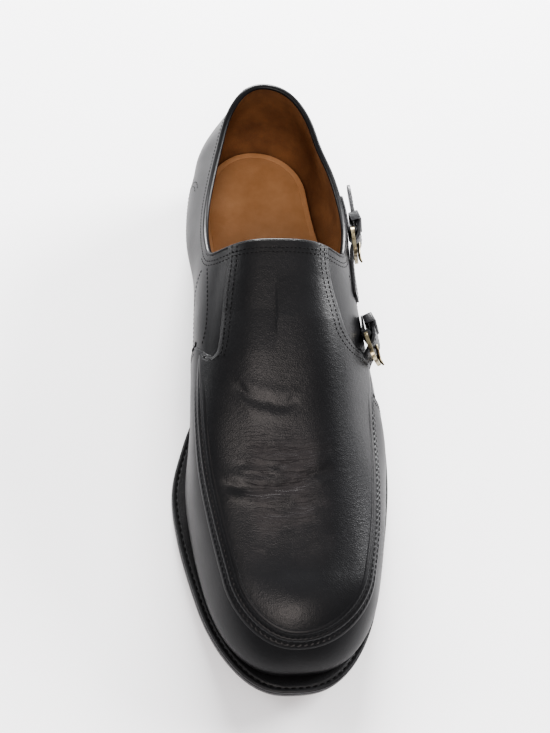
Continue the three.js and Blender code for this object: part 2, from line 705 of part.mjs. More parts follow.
// The keeper: a leather loop round the tail, standing on the tab
function makeKeeper(fastening) {
  const at = fastening.rear.at - LOOP.behind;
  const index = fastening.strap.findIndex((r) => r.at === at);
  const row = fastening.strap[index];
  const { room } = LOOP;
  const floor = fastening.seat + TAB_THICK + LOOP.play - row.off;
  const [low, high] = [-room, STRAP.thick + room];
  const half = STRAP.width / 2 + room;
  const outline = new THREE.Shape([
    new THREE.Vector2(-half - LOOP.thick, floor),
    new THREE.Vector2(half + LOOP.thick, floor),
    new THREE.Vector2(half + LOOP.thick, high + LOOP.thick),
    new THREE.Vector2(-half - LOOP.thick, high + LOOP.thick),
  ]);
  outline.holes.push(
    new THREE.Path([
      new THREE.Vector2(-half, low),
      new THREE.Vector2(-half, high),
      new THREE.Vector2(half, high),
      new THREE.Vector2(half, low),
    ]),
  );
  const geometry = new THREE.ExtrudeGeometry(outline, { depth: LOOP.wide, bevelEnabled: false });
  geometry.translate(0, 0, -LOOP.wide / 2);
  const turned = new THREE.Matrix4().makeBasis(
    new THREE.Vector3(0, 1, 0),
    new THREE.Vector3(0, 0, 1),
    new THREE.Vector3(1, 0, 0),
  );
  geometry.applyMatrix4(turned);
  return inFrame(geometry, strapFrames(fastening.strap)[index]);
}

function named(name, geometry, material) {
  const mesh = new THREE.Mesh(geometry, material);
  mesh.name = name;
  return mesh;
}

const shoe = new THREE.Group();
const addSolid = (name, solid, material) => shoe.add(named(name, geometryOf(solid), material));

addSolid("outsole", makeOutsole(), SOLE_LEATHER);
addSolid("welt", makeWelt(), SOLE_LEATHER);
addSolid("heel_stack", makeHeelStack(), SOLE_LEATHER);
addSolid("heel_top_lift", makeTopLift(), RUBBER);
addSolid("insole", makeSock(), SOCK_LEATHER);
addSolid("upper", makeUpper(), LEATHER);
addSolid("apron", makeApron(), LEATHER);
addSolid("back_strap", makeBackStrap(), LEATHER);

for (const fastening of FASTENINGS) {
  const frame = buckleFrame(fastening);
  const { name } = fastening;
  addSolid(`${name}_strap`, makeStrap(fastening, frame), STRAP_LEATHER);
  addSolid(`${name}_tab`, makeTab(fastening, frame), STRAP_LEATHER);
  addSolid(`${name}_keeper`, makeKeeper(fastening), STRAP_LEATHER);
  addSolid(`${name}_buckle`, inFrame(buckleGeometry(), frame), METAL);
  addSolid(`${name}_prong`, makeProng(frame), METAL);
}

export default shoe;
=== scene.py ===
"""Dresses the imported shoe: leather, seams, stitches, creases, metal, and the stage it stands on."""
import math

import bmesh
import bpy
import numpy as np
from bpy.props import FloatProperty, FloatVectorProperty, PointerProperty
from mathutils import Matrix, Vector
from mathutils.bvhtree import BVHTree


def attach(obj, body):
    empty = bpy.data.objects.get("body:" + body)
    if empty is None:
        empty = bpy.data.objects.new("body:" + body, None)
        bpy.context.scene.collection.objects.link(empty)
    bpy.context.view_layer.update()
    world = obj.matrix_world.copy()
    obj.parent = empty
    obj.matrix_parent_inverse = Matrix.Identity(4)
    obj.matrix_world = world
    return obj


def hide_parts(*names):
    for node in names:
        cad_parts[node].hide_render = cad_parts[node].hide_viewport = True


bl_info = {
    "name": "Monk Strap Shoe",
    "version": (1, 0, 0),
    "blender": (4, 5, 0),
    "location": "View3D > Sidebar > Shoe",
    "description": "Builds a black leather shoe with two buckled straps over its packed frame",
    "category": "Object",
}

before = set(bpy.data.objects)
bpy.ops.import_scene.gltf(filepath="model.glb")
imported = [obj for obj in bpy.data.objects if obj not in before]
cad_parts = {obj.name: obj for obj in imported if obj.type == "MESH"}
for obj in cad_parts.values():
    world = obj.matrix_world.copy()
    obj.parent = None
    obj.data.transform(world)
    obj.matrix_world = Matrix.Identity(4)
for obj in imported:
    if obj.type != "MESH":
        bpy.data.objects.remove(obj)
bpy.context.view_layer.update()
MM = 0.001

# Driving sizes in millimetres, as in the part's source. A station is a distance forward from the sole's
# rear end, and the toe points to -Y.
SOLE_LENGTH = 302
HEEL_MIDDLE = 36
HEEL_HEIGHT = 24
HEEL_BREAST = 76
TOP_LIFT = 6
TREAD_START = 172
TREAD_END = 228
TOE_SPRING = 10
OUTSOLE = 5.6
WELT = 3
SOCK = 3.6
WALL = 2.2
GAP = 0.3
APRON = 1.3

HEEL_CENTRE = 32
TOE_CENTRE = 254
TOE_SHIFT = 8
HEEL_REACH = {"sole": 32, "foot": 29, "full": 33, "seam": 28.8}
TOE_REACH = {"sole": 48, "foot": 38.5, "full": 39, "seam": 27.3}
HEEL_TURN = {"sole": 2.1, "foot": 2.1, "full": 2.1, "seam": 2.1}
TOE_TURN = {"sole": 2.7, "foot": 2.8, "full": 2.8, "seam": 2.1}
CROWN_SHARE = 0.5
CROWN_LIFT = 0.87
ARC = 0.2  # share of each half outline that an end's turn takes

# Half widths of the sole's edge: station, inner side, outer side
SOLE_ROWS = np.array([
    (0, 32.5, 33), (32, 34, 35), (60, 35, 38), (90, 31, 44), (120, 28.5, 53), (150, 33.2, 61.5),
    (175, 42, 64.6), (200, 47.8, 63.8), (225, 45.2, 60), (254, 37.6, 53.5), (302, 22, 40.5),
])
# Half widths of the upper: station, then inner and outer side at the foot, the fullest and the seam
UPPER_ROWS = np.array([
    (0, 27, 27, 31, 31, 20, 24),
    (32, 30, 30.5, 34.8, 34, 22.5, 28),
    (54, 31.5, 33, 39, 40, 27, 35.5),
    (80, 29, 38, 40, 43.8, 31.5, 39.5),
    (104, 26.5, 42.5, 36.5, 45, 32.5, 39),
    (130, 27, 49, 36.2, 49.3, 34, 42.5),
    (156, 31.5, 54.5, 37, 55, 34.8, 48.5),
    (182, 37.5, 57, 38.5, 58.7, 34.5, 49.5),
    (206, 39.6, 55.8, 40.2, 57.5, 32.3, 49.4),
    (230, 36.8, 53.2, 37.4, 54.8, 27.4, 47.2),
    (254, 31.5, 48.5, 32.2, 50.2, 21.4, 42.3),
    (302, 17.5, 36.5, 18, 38, 10, 31),
])
# Heights of the upper: station, fullest, seam on the inner and outer side, crest's X and Z
HEIGHT_ROWS = np.array([
    (0, 52, 81, 81, 2, 134),
    (32, 51, 80, 80, 2, 130),
    (54, 50, 77, 77, 3, 125),
    (80, 50, 76, 76, 3.5, 116),
    (104, 48, 78, 76, 3, 103.5),
    (130, 42, 74, 67, 3, 92.5),
    (156, 34, 67.5, 52, 4, 82),
    (182, 28, 61, 44.5, 5.5, 70.5),
    (206, 25, 53.5, 42, 7, 60.5),
    (230, 23, 48, 41, 8.5, 52.5),
    (254, 23, 44, 41, 9.5, 48),
    (302, 26, 37, 38, 9.5, 48),
])
LEVEL_COLUMN = {"foot": 1, "full": 3, "seam": 5}
# Side view of the collar and the throat: station, height
COLLAR = [(-12, 89.5), (6, 89), (22, 83), (42, 77), (66, 74.5), (90, 76.5), (107, 81.5)]
THROAT = [(109, 87), (109.8, 95), (110.5, 104)]
# Rear edge of the apron in plan: x, station. It runs from the throat to the seam on the inner side, and from
# the seam round its notch to the throat on the outer side.
APRON_REAR = {
    -1: [(-21.5, 90), (-21.8, 116), (-23.5, 128.6), (-25, 142.5), (-26, 151), (-27.3, 156), (-29.6, 157.6),
         (-32.3, 156), (-35, 152)],
    1: [(47.6, 146), (44.5, 148.2), (41.3, 149), (37.6, 147.8), (33.8, 143.6), (31, 137), (26.8, 124),
        (25.8, 114), (25.5, 90)],
}
# Rear edge of the vamp's sides in side view, from the apron down to the welt: station, height
VAMP_REAR = {
    -1: [(158, 77), (156.6, 73), (153.3, 70.4), (149.7, 66.8), (147, 63), (146.6, 54), (148.5, 38), (151, 4)],
    1: [(149, 70), (148.6, 65), (146.6, 59), (149, 54), (157, 50), (163.5, 45.8), (165, 34), (167, 4)],
}
VAMP = 0.9  # how far the vamp's sides stand on the quarters
# Rows of stitches in plan: name, then x and station
PLAN_ROWS = [
    ("flap_inner_1", [(-20, 106), (-20.2, 115.8), (-21.9, 128.6), (-23.4, 142.5), (-24.4, 151),
                      (-25.8, 157.6), (-29.5, 159.4), (-33, 157.6)]),
    ("flap_inner_2", [(-17.9, 106), (-18.1, 116.6), (-19.8, 129.4), (-21.4, 143), (-22.4, 152),
                      (-24.4, 159.6)]),
    ("flap_outer_1", [(23.6, 106), (23.8, 116.3), (24.9, 124), (29.2, 138.9), (32, 146.1), (36.7, 150.3),
                      (40.9, 151.2), (45, 150.2)]),
    ("flap_outer_2", [(21.5, 106), (21.8, 117), (22.8, 125.5), (27, 140.2), (29.9, 148.2), (35.4, 152.9),
                      (40.6, 153.8), (45.4, 152.6)]),
    ("facing_inner", [(-31.2, 113), (-31.3, 124.5), (-31.4, 134), (-32.4, 144), (-34, 149.5)]),
]
# The same in side view: name, side, then station and height
SIDE_ROWS = [
    ("vamp_inner_1", -1, [(149, 65), (148.9, 54), (150.8, 38), (152.8, 14)]),
    ("vamp_inner_2", -1, [(151.2, 64), (151.1, 54), (153, 38), (155, 14)]),
    ("vamp_outer_1", 1, [(165.6, 46), (167.2, 34), (168.8, 15)]),
    ("vamp_outer_2", 1, [(167.8, 46), (169.4, 34), (171, 15)]),
    ("quarter_tab_1", -1, [(53.5, 63), (48, 60.8), (45, 56), (45.4, 51), (50, 47.4), (60, 46.4),
                           (78, 46.8)]),
    ("quarter_tab_2", -1, [(54, 60.8), (49.6, 59), (47.2, 55.6), (47.6, 52), (51, 49.6), (60, 48.6),
                           (78, 49)]),
    ("facing_edge_outer", 1, [(113.5, 76), (116, 70), (120, 62), (121.4, 57)]),
    ("facing_edge_inner", -1, [(111.5, 76), (115, 68), (124, 60), (136, 56.5), (146, 56)]),
]
# Bar tacks in side view: name, side, then station and height at both ends
BAR_TACKS = [
    ("inner", -1, (145.6, 65.2), (148.4, 61.0)),
    ("outer", 1, (161.6, 47.6), (165.2, 44.2)),
]
SEAM_SHARE = 0.4  # the skin's parameter at the seam
CREST_SHARE = 0.8  # and at the crest
ABOVE = 200  # higher than the whole shoe
BESIDE = 90  # farther out than the whole shoe
EVERYWHERE = -50  # a cut value that keeps the leather
UNDER_APRON = 2.5  # how far the vamp's sides run under the apron
BEHIND_VAMP = [(-20, -30), (-20, 140), (158, 140)]  # closes the area behind the vamp's rear edge

# Creases of the vamp, in plan: from x, station to x, station, how far the middle sags toward the toe, how
# deep the trough is and how wide
CREASES = [
    (-27, 212, 6, 215.5, 3.0, 0.42, 2.4),
    (-2, 217.5, 27, 206, 1.5, 0.38, 2.2),
    (-22, 204.5, 16, 204, 2.6, 0.16, 1.4),
    (-8, 200, 28, 198.5, 1.8, 0.14, 1.4),
    (-20, 208.5, 18, 209, 2.4, 0.16, 1.4),
    (-10, 227, 22, 221, 1.5, 0.2, 2.4),
    (-6, 234, 20, 230, 1.2, 0.12, 2.2),
    (-22, 170, 12, 179, 5.5, 0.34, 2.6),
]


def smooth_column(rows, column, at):
    """Smooth value of one column of a table at any stations."""
    stations, values = rows[:, 0], rows[:, column]
    x = np.clip(at, stations[0], stations[-1])
    k = np.clip(np.searchsorted(stations, x, side="left") - 1, 0, len(rows) - 2)
    index = np.arange(len(rows))
    before, after = np.maximum(index - 1, 0), np.minimum(index + 1, len(rows) - 1)
    slope = (values[after] - values[before]) / (stations[after] - stations[before])
    span = stations[k + 1] - stations[k]
    t = (x - stations[k]) / span
    rise = values[k + 1] - values[k]
    ease_in, ease_out = slope[k] * span, slope[k + 1] * span
    return values[k] + t * (
        ease_in + t * (3 * rise - 2 * ease_in - ease_out + t * (ease_in + ease_out - 2 * rise))
    )


def underside(at):
    """Height of the sole's underside."""
    at = np.asarray(at, float)
    toe = np.clip((at - TREAD_END) / (SOLE_LENGTH - TREAD_END), 0, None)
    waist = np.clip((TREAD_START - at) / (TREAD_START - HEEL_BREAST), 0, 1)
    return TOE_SPRING * toe**1.8 + HEEL_HEIGHT * waist * waist * (3 - 2 * waist)


def sole_top(at):
    return underside(at) + OUTSOLE


def stops(u):
    """Side, station, turn and end of points round the outline: u runs from 0 at the back of the heel over
    the inner side to 1 at the toe, and on over the outer side to 2."""
    u = np.asarray(u, float) % 2
    half = np.where(u <= 1, u, 2 - u)
    side = np.where(u <= 1, -1.0, 1.0)
    end = np.where(half < ARC, -1, np.where(half > 1 - ARC, 1, 0))
    turn = np.where(end < 0, 1 - half / ARC, np.where(end > 0, (half - 1 + ARC) / ARC, 0)) * math.pi / 2
    along = np.clip((half - ARC) / (1 - 2 * ARC), 0, 1)
    return side, HEEL_CENTRE + along * (TOE_CENTRE - HEEL_CENTRE), turn, end


def plan_point(rows, column, level, side, at, turn, end):
    heel, toe = end < 0, end > 0
    power = np.where(heel, 2 / HEEL_TURN[level], 2 / TOE_TURN[level])
    reach = np.where(heel, -HEEL_REACH[level], np.where(toe, TOE_REACH[level], 0))
    at = at + reach * np.sin(turn) ** power
    inner, outer = smooth_column(rows, column, at), smooth_column(rows, column + 1, at)
    middle = np.where(toe, TOE_SHIFT, 0)
    half = np.where(side < 0, -inner, outer) - middle
    return middle + half * np.where(end == 0, 1, np.maximum(np.cos(turn), 0) ** power), at


def catmull(points, t):
    """Centripetal curve through the control points of many profiles, at the shares t of its length."""
    first = 2 * points[:, :1] - points[:, 1:2]
    last = 2 * points[:, -1:] - points[:, -2:-1]
    p = np.concatenate([first, points, last], axis=1)
    segments = points.shape[1] - 1
    place = np.clip(np.asarray(t, float) * segments, 0, segments - 1e-9)
    k = np.floor(place).astype(int)
    w = (place - k)[None, :, None]
    p0, p1, p2, p3 = (p[:, k + n] for n in range(4))
    d0, d1, d2 = (
        np.maximum(np.sqrt(np.linalg.norm(b - a, axis=2, keepdims=True)), 1e-4)
        for a, b in ((p0, p1), (p1, p2), (p2, p3))
    )
    t1 = ((p1 - p0) / d0 - (p2 - p0) / (d0 + d1) + (p2 - p1) / d1) * d1
    t2 = ((p2 - p1) / d1 - (p3 - p1) / (d1 + d2) + (p3 - p2) / d2) * d1
    return p1 + w * (t1 + w * (3 * (p2 - p1) - 2 * t1 - t2 + w * (2 * (p1 - p2) + t1 + t2)))


def profiles(side, at, turn, end, t):
    """The upper's skin over the foot, the fullest, the seam and the crown to the crest."""
    levels = []
    for level in ("foot", "full", "seam"):
        x, place = plan_point(UPPER_ROWS, LEVEL_COLUMN[level], level, side, at, turn, end)
        if level == "foot":
            z = sole_top(place) + GAP
        elif level == "full":
            z = smooth_column(HEIGHT_ROWS, 1, place)
        else:
            inner, outer = smooth_column(HEIGHT_ROWS, 2, place), smooth_column(HEIGHT_ROWS, 3, place)
            # the two sides meet level in the middle of the toe
            share = np.where(end > 0, 0.5 * np.sin(turn) ** 2, 0)
            z = np.where(side < 0, inner + share * (outer - inner), outer + share * (inner - outer))
        levels.append(np.stack([x, HEEL_MIDDLE - place, z], axis=-1))
    crest = np.stack(
        [smooth_column(HEIGHT_ROWS, 4, at), HEEL_MIDDLE - at, smooth_column(HEIGHT_ROWS, 5, at)], axis=-1
    )
    crown = levels[2] + CROWN_SHARE * (crest - levels[2])
    crown[..., 2] = levels[2][..., 2] + CROWN_LIFT * (crest[..., 2] - levels[2][..., 2])
    beyond = 2 * crest - crown
    beyond[..., 2] = crown[..., 2]
    return catmull(np.stack([*levels, crown, crest, beyond], axis=1), t)


def skin(u, t):
    return profiles(*stops(u), t)


def side_skin(at, side, t):
    at = np.asarray(at, float)
    plain = np.zeros_like(at)
    return profiles(plain + side, at, plain, plain.astype(int), t)


def unit(vectors):
    """Vectors with a length of one."""
    return vectors / np.maximum(np.linalg.norm(vectors, axis=-1, keepdims=True), 1e-9)


def spread(*spans):
    """Even numbers over spans that follow each other. Each span has a start, an end and a count."""
    return np.concatenate([np.linspace(*span)[min(k, 1):] for k, span in enumerate(spans)])


def grid_normals(points, closed=False):
    if closed:
        along = np.roll(points, -1, 0) - np.roll(points, 1, 0)
    else:
        along = np.gradient(points, axis=0)
    return unit(np.cross(along, np.gradient(points, axis=1)))


def grid_tree(grid):
    """A grid of points as a surface that rays can meet."""
    rows, columns = grid.shape[:2]
    faces = [
        (i * columns + j, i * columns + j + 1, (i + 1) * columns + j + 1, (i + 1) * columns + j)
        for i in range(rows - 1) for j in range(columns - 1)
    ]
    return BVHTree.FromPolygons([Vector(p) for p in grid.reshape(-1, 3)], faces)


def side_view_curve(rows, steps):
    """Smooth line through side-view points."""
    p = np.array([(a, 0.0, z) for a, z in rows], float)[None]
    return catmull(p, np.linspace(0, 1, steps))[0][:, (0, 2)]


def distance_to_line(points, line):
    """Distance of 2-D points to a line."""
    best = np.full(points.shape[:-1], np.inf)
    for a, b in zip(line, line[1:]):
        ab = b - a
        w = np.clip(((points - a) @ ab) / max(ab @ ab, 1e-9), 0, 1)
        best = np.minimum(best, np.linalg.norm(points - (a + w[..., None] * ab), axis=-1))
    return best


def inside_polygon(points, polygon):
    x, y = points[..., 0], points[..., 1]
    inside = np.zeros(x.shape, bool)
    count = len(polygon)
    for k in range(count):
        (x0, y0), (x1, y1) = polygon[k], polygon[(k + 1) % count]
        if y0 == y1:
            continue
        crosses = ((y0 > y) != (y1 > y)) & (x < (x1 - x0) * (y - y0) / (y1 - y0) + x0)
        inside ^= crosses
    return inside


def depth_inside(points, polygon, line):
    """How far 2-D points lie inside a polygon, from the part of its outline that the line is. It is negative
    outside."""
    distance = distance_to_line(points, line)
    return np.where(inside_polygon(points, polygon), distance, -distance)


OPENING_LINE = np.concatenate([side_view_curve(COLLAR, 60), side_view_curve([COLLAR[-1], *THROAT], 24)[1:]])
OPENING = np.concatenate([OPENING_LINE, [(THROAT[-1][0], ABOVE), (COLLAR[0][0], ABOVE)]])


def side_view(points):
    """Stations and heights of points."""
    return np.stack([HEEL_MIDDLE - points[..., 1], points[..., 2]], axis=-1)


def opening_distance(points):
    """How far points lie inside the collar's opening in side view. It is negative on the leather."""
    return depth_inside(side_view(points), OPENING, OPENING_LINE)


def patch(outer, inner, cut, closed=False):
    """A closed shell between two grids of points, kept where cut is negative and trimmed where it is zero. A
    closed grid meets itself along its last column, which gets no rim. Returns the shell's corners, its faces
    and for each face whether it is outside, inside or rim (0, 1, 2)."""
    rows, columns = cut.shape
    places = []
    index = -np.ones((rows, columns), int)
    for i, j in np.argwhere(cut < 0):
        index[i, j] = len(places)
        places.append(((i, j), (i, j), 0.0))
    edges = {}

    def crossing(a, b):
        key = (a, b) if a < b else (b, a)
        if key not in edges:
            p, q = key
            edges[key] = len(places)
            places.append((p, q, cut[p] / (cut[p] - cut[q])))
        return edges[key]

    faces = []
    kept = cut < 0
    for i in range(rows if closed else rows - 1):
        n = (i + 1) % rows
        for j in range(columns - 1):
            corners = ((i, j), (n, j), (n, j + 1), (i, j + 1))
            count = sum(kept[c] for c in corners)
            if count == 0:
                continue
            if count == 4:
                faces.append([index[c] for c in corners])
                continue
            face = []
            for a, b in zip(corners, corners[1:] + corners[:1]):
                if kept[a]:
                    face.append(index[a])
                if kept[a] != kept[b]:
                    face.append(crossing(a, b))
            if len(face) > 2:
                faces.append(face)
    near, far = (tuple(np.array([p[n] for p in places]).T) for n in (0, 1))
    share = np.array([p[2] for p in places])[:, None]
    corners = [g[near] + share * (g[far] - g[near]) for g in (outer, inner)]
    count = len(places)
    uses = {}
    for face in faces:
        for a, b in zip(face, face[1:] + face[:1]):
            uses[(a, b)] = uses.get((a, b), 0) + 1
    crest = {v for v, place in enumerate(places) if closed and place[0][1] == place[1][1] == columns - 1}
    rim = [
        [b, a, a + count, b + count]
        for a, b in uses if (b, a) not in uses and not (a in crest and b in crest)
    ]
    back = [[v + count for v in reversed(face)] for face in faces]
    kinds = [0] * len(faces) + [1] * len(back) + [2] * len(rim)
    return np.concatenate(corners), faces + back + rim, kinds


def turn_outward():
    """Turns the active piece's faces outward, and leaves edit mode."""
    bpy.ops.mesh.select_all(action="SELECT")
    bpy.ops.mesh.normals_make_consistent(inside=False)
    bpy.ops.object.mode_set(mode="OBJECT")


def mesh_object(name, points, faces, kinds=None):
    """A new object from points in millimetres, left active."""
    mesh = bpy.data.meshes.new(name)
    corners = [tuple(p * MM) for p in np.asarray(points, float)]
    mesh.from_pydata(corners, [], [list(map(int, f)) for f in faces])
    piece = bpy.data.objects.new(name, mesh)
    bpy.context.collection.objects.link(piece)
    if kinds is not None:
        mesh.polygons.foreach_set("material_index", kinds)
    mesh.polygons.foreach_set("use_smooth", [True] * len(faces))
    mesh.update()
    only(piece)
    bpy.ops.object.mode_set(mode="EDIT")
    bpy.ops.mesh.select_all(action="SELECT")
    bpy.ops.mesh.remove_doubles(threshold=MM / 1000)
    turn_outward()
    return piece


def only(*pieces):
    bpy.ops.object.select_all(action="DESELECT")
    for piece in pieces:
        piece.select_set(True)
    bpy.context.view_layer.objects.active = pieces[0]


def modifier(piece, kind, **settings):
    """Adds a modifier, sets it up and applies it."""
    only(piece)
    added = piece.modifiers.new(kind.title(), kind)
    for key, value in settings.items():
        setattr(added, key, value)
    bpy.ops.object.modifier_apply(modifier=added.name)


def smooth_by_angle(degrees):
    """Shades the active piece smooth, apart from edges sharper than an angle."""
    bpy.ops.object.shade_smooth_by_angle(angle=math.radians(degrees))


def eased(piece, width, segments, degrees=50):
    """Bevels a piece's sharp edges and shades it smooth."""
    sharp = {"limit_method": "ANGLE", "angle_limit": math.radians(50)}
    modifier(piece, "BEVEL", width=width, segments=segments, **sharp)
    smooth_by_angle(degrees)


def axes_matrix(x, y, z, place):
    """The matrix with the given axes, at a place."""
    matrix = Matrix((x, y, z)).transposed().to_4x4()
    matrix.translation = place
    return matrix


def seat(piece, materials, replaces=()):
    """Gives a piece its materials and its place in the shoe."""
    kinds = [p.material_index for p in piece.data.polygons]
    piece.data.materials.clear()
    for material in materials:
        piece.data.materials.append(material)
    piece.data.polygons.foreach_set("material_index", kinds)
    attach(piece, "root")
    if replaces:
        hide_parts(*replaces)
    return piece


def linear(code):
    """Linear colour from an sRGB hex value."""
    parts = [int(code[i:i + 2], 16) / 255 for i in (1, 3, 5)]
    return [c / 12.92 if c <= 0.04045 else ((c + 0.055) / 1.055) ** 2.4 for c in parts] + [1.0]


def grey(v):
    return (v, v, v, 1)


class Sheet:
    """A material under construction: its tree, its shader, its coordinates and one way to add a node."""

    def __init__(self, name, **shader):
        self.material = bpy.data.materials.new(name)
        self.material.use_nodes = True
        self.tree = self.material.node_tree
        self.shader = self.tree.nodes["Principled BSDF"]
        for key, value in shader.items():
            self.shader.inputs[key.replace("_", " ")].default_value = value
        self.place = self.add("ShaderNodeTexCoord").outputs["Object"]

    def add(self, kind, settings=None, **links):
        """Adds a node. Settings are its properties, links go to its sockets by name or number."""
        node = self.tree.nodes.new(kind)
        for key, value in (settings or {}).items():
            setattr(node, key, value)
        for key, value in links.items():
            socket = node.inputs[int(key[1:])] if key[0] == "n" and key[1:].isdigit() else node.inputs[key]
            if isinstance(value, bpy.types.NodeSocket):
                self.tree.links.new(value, socket)
            else:
                socket.default_value = value
        return node

    def join(self, output, socket):
        self.tree.links.new(output, self.shader.inputs[socket])

    def math(self, operation, *values):
        links = {f"n{k}": value for k, value in enumerate(values)}
        return self.add("ShaderNodeMath", {"operation": operation}, **links).outputs[0]

    def noise(self, scale, detail, roughness=0.5, at=None):
        node = self.add("ShaderNodeTexNoise", Scale=scale, Detail=detail, Roughness=roughness)
        self.tree.links.new(self.place if at is None else at, node.inputs["Vector"])
        return node.outputs["Fac"]

    def cells(self, scale, feature="DISTANCE_TO_EDGE"):
        node = self.add("ShaderNodeTexVoronoi", {"feature": feature}, Vector=self.place, Scale=scale)
        return node.outputs["Distance"]

    def fade(self, value, none, full, kind="SMOOTHSTEP"):
        """From 0 to 1 while a value runs from none to full."""
        ends = {"From Min": none, "From Max": full}
        return self.add("ShaderNodeMapRange", {"interpolation_type": kind}, Value=value, **ends).outputs[0]

    def ramp(self, value, low, tone_low, high, tone_high):
        """A colour ramp between two tones at two places."""
        node = self.add("ShaderNodeValToRGB", n0=value)
        for element, place, tone in zip(node.color_ramp.elements, (low, high), (tone_low, tone_high)):
            element.position = place
            element.color = tone
        return node.outputs["Color"]

    def bump(self, height, strength, distance=0.0003):
        node = self.add("ShaderNodeBump", Height=height, Strength=strength, Distance=distance)
        self.join(node.outputs["Normal"], "Normal")


MATERIALS = {}
PORES = 1100.0  # calf's pores are 0.4 mm across, drawn at 0.9 mm so that they show
FINE_GRAIN = 520.0


def calf_leather(colours):
    """Black box calf: dyed through, finished with a thin glaze and polished, so it mirrors light softly over
    a fine grain."""
    sheet = Sheet("black_box_calf", Roughness=0.4, IOR=1.5, Specular_IOR_Level=0.38)
    cloud = sheet.noise(28.0, 4.0, 0.6)
    sheet.join(sheet.ramp(cloud, 0.3, colours.calf_dark, 0.72, colours.calf_light), "Base Color")
    sheet.join(sheet.ramp(cloud, 0.3, grey(0.34), 0.75, grey(0.46)), "Roughness")
    pits = sheet.math("MULTIPLY", sheet.cells(PORES), 0.9)
    sheet.bump(sheet.math("ADD", pits, sheet.noise(FINE_GRAIN, 3.0)), 0.13)
    return sheet.material


def creased_calf(colours):
    """The vamp's calf: the same leather, with short transverse wrinkles where the foot bends it, a little
    duller there, and a brown tint painted there as the warm sheen of the highlight over the vamp."""
    sheet = Sheet("black_box_calf_creased", Roughness=0.4, IOR=1.5, Specular_IOR_Level=0.45)
    base = sheet.ramp(sheet.noise(30.0, 4.0, 0.6), 0.3, colours.calf_dark, 0.72, colours.calf_light)
    axes = sheet.add("ShaderNodeSeparateXYZ", Vector=sheet.place).outputs
    # the wrinkles are full from station 204 to 226, and gone behind 184 and ahead of 258
    behind = sheet.fade(axes["Y"], -0.148, -0.168)
    ahead = sheet.fade(axes["Y"], -0.222, -0.19)
    band = sheet.math("MULTIPLY", behind, ahead)
    # they run across the foot and sag toward the toe in the middle, 5 mm over 30 mm
    aside = sheet.math("SUBTRACT", axes["X"], 0.005)
    sagged = sheet.math("MULTIPLY_ADD", sheet.math("MULTIPLY", aside, aside), -6.0, axes["Y"])
    along = sheet.math("MULTIPLY", axes["X"], 0.12)
    arcs = sheet.add("ShaderNodeCombineXYZ", X=along, Y=sagged).outputs[0]
    wrinkle = sheet.noise(560.0, 2.0, at=arcs)
    apart = sheet.math("ABSOLUTE", sheet.math("SUBTRACT", wrinkle, 0.5))
    hairline = sheet.ramp(apart, 0.0, grey(1.0), 0.06, grey(0.0))
    patchy = sheet.ramp(sheet.noise(70.0, 2.0), 0.4, grey(0.15), 0.56, grey(1.0))
    # and they stay on the middle of the foot, gone 22 mm beside it
    middle = sheet.fade(sheet.math("ABSOLUTE", aside), 0.022, 0.014, "LINEAR")
    crease_and_sheen_zone = sheet.math("MULTIPLY", sheet.math("MULTIPLY", band, middle), patchy)
    sheet.join(sheet.ramp(crease_and_sheen_zone, 0.1, grey(0.38), 0.9, grey(0.46)), "Roughness")
    # painted sheen: up to 45 percent of a brown tint in the creases, standing in for the warm highlight over
    # the vamp
    share = sheet.math("MULTIPLY", crease_and_sheen_zone, 0.45)
    crease_sheen = sheet.add("ShaderNodeMix", {"data_type": "RGBA"}, n0=share, n6=base, n7=colours.calf_crease_sheen)
    sheet.join(crease_sheen.outputs[2], "Base Color")
    grain = sheet.math("ADD", sheet.cells(PORES), sheet.noise(FINE_GRAIN, 3.0))
    drawn = sheet.math("MULTIPLY", hairline, crease_and_sheen_zone)
    sheet.bump(sheet.math("MULTIPLY_ADD", drawn, -2.2, grain), 0.3)
    return sheet.material


def leather(name, dark, light, roughness, grain, strength=0.2, coat=0.0):
    """Plain leather: two tones of one dye and a pebbled grain of the given size in millimetres."""
    sheet = Sheet(name, IOR=1.5, Roughness=roughness, Coat_Weight=coat)
    sheet.join(sheet.ramp(sheet.noise(45.0, 5.0, 0.6), 0.3, dark, 0.7, light), "Base Color")
    pebbles = sheet.cells(1 / (grain * MM), "SMOOTH_F1")
    sheet.bump(sheet.math("ADD", pebbles, sheet.noise(700.0, 2.0)), strength)
    return sheet.material


def waxed_thread(colours):
    """Waxed polyester thread: two plies laid together, black, with a dull wax sheen."""
    sheet = Sheet("waxed_thread", Roughness=0.8, IOR=1.5, Specular_IOR_Level=0.2)
    plies = sheet.ramp(sheet.noise(900.0, 1.0), 0.3, colours.thread, 0.7, linear("#232222"))
    sheet.join(plies, "Base Color")
    return sheet.material


def edge_ink(colours):
    """Stacked leather edges, inked, waxed and burnished: fine lines along the layers and a soft shine."""
    sheet = Sheet("inked_leather_edge", Roughness=0.38, IOR=1.5, Coat_Weight=0.15, Coat_Roughness=0.3)
    layers = sheet.add("ShaderNodeMapping", Vector=sheet.place, Scale=(1.0, 1.0, 14.0))
    lines = sheet.noise(160.0, 3.0, at=layers.outputs[0])
    sheet.join(sheet.ramp(lines, 0.35, colours.edge_dark, 0.7, colours.edge_light), "Base Color")
    sheet.bump(lines, 0.15, 0.0002)
    return sheet.material


def moulded_rubber():
    """Moulded heel rubber: black, matte, with a faint speckle of dust."""
    sheet = Sheet("moulded_rubber", Roughness=0.75, IOR=1.52)
    dust = sheet.noise(400.0, 4.0)
    sheet.join(sheet.ramp(dust, 0.4, linear("#121212"), 0.75, linear("#262524")), "Base Color")
    sheet.bump(dust, 0.2, 0.0002)
    return sheet.material


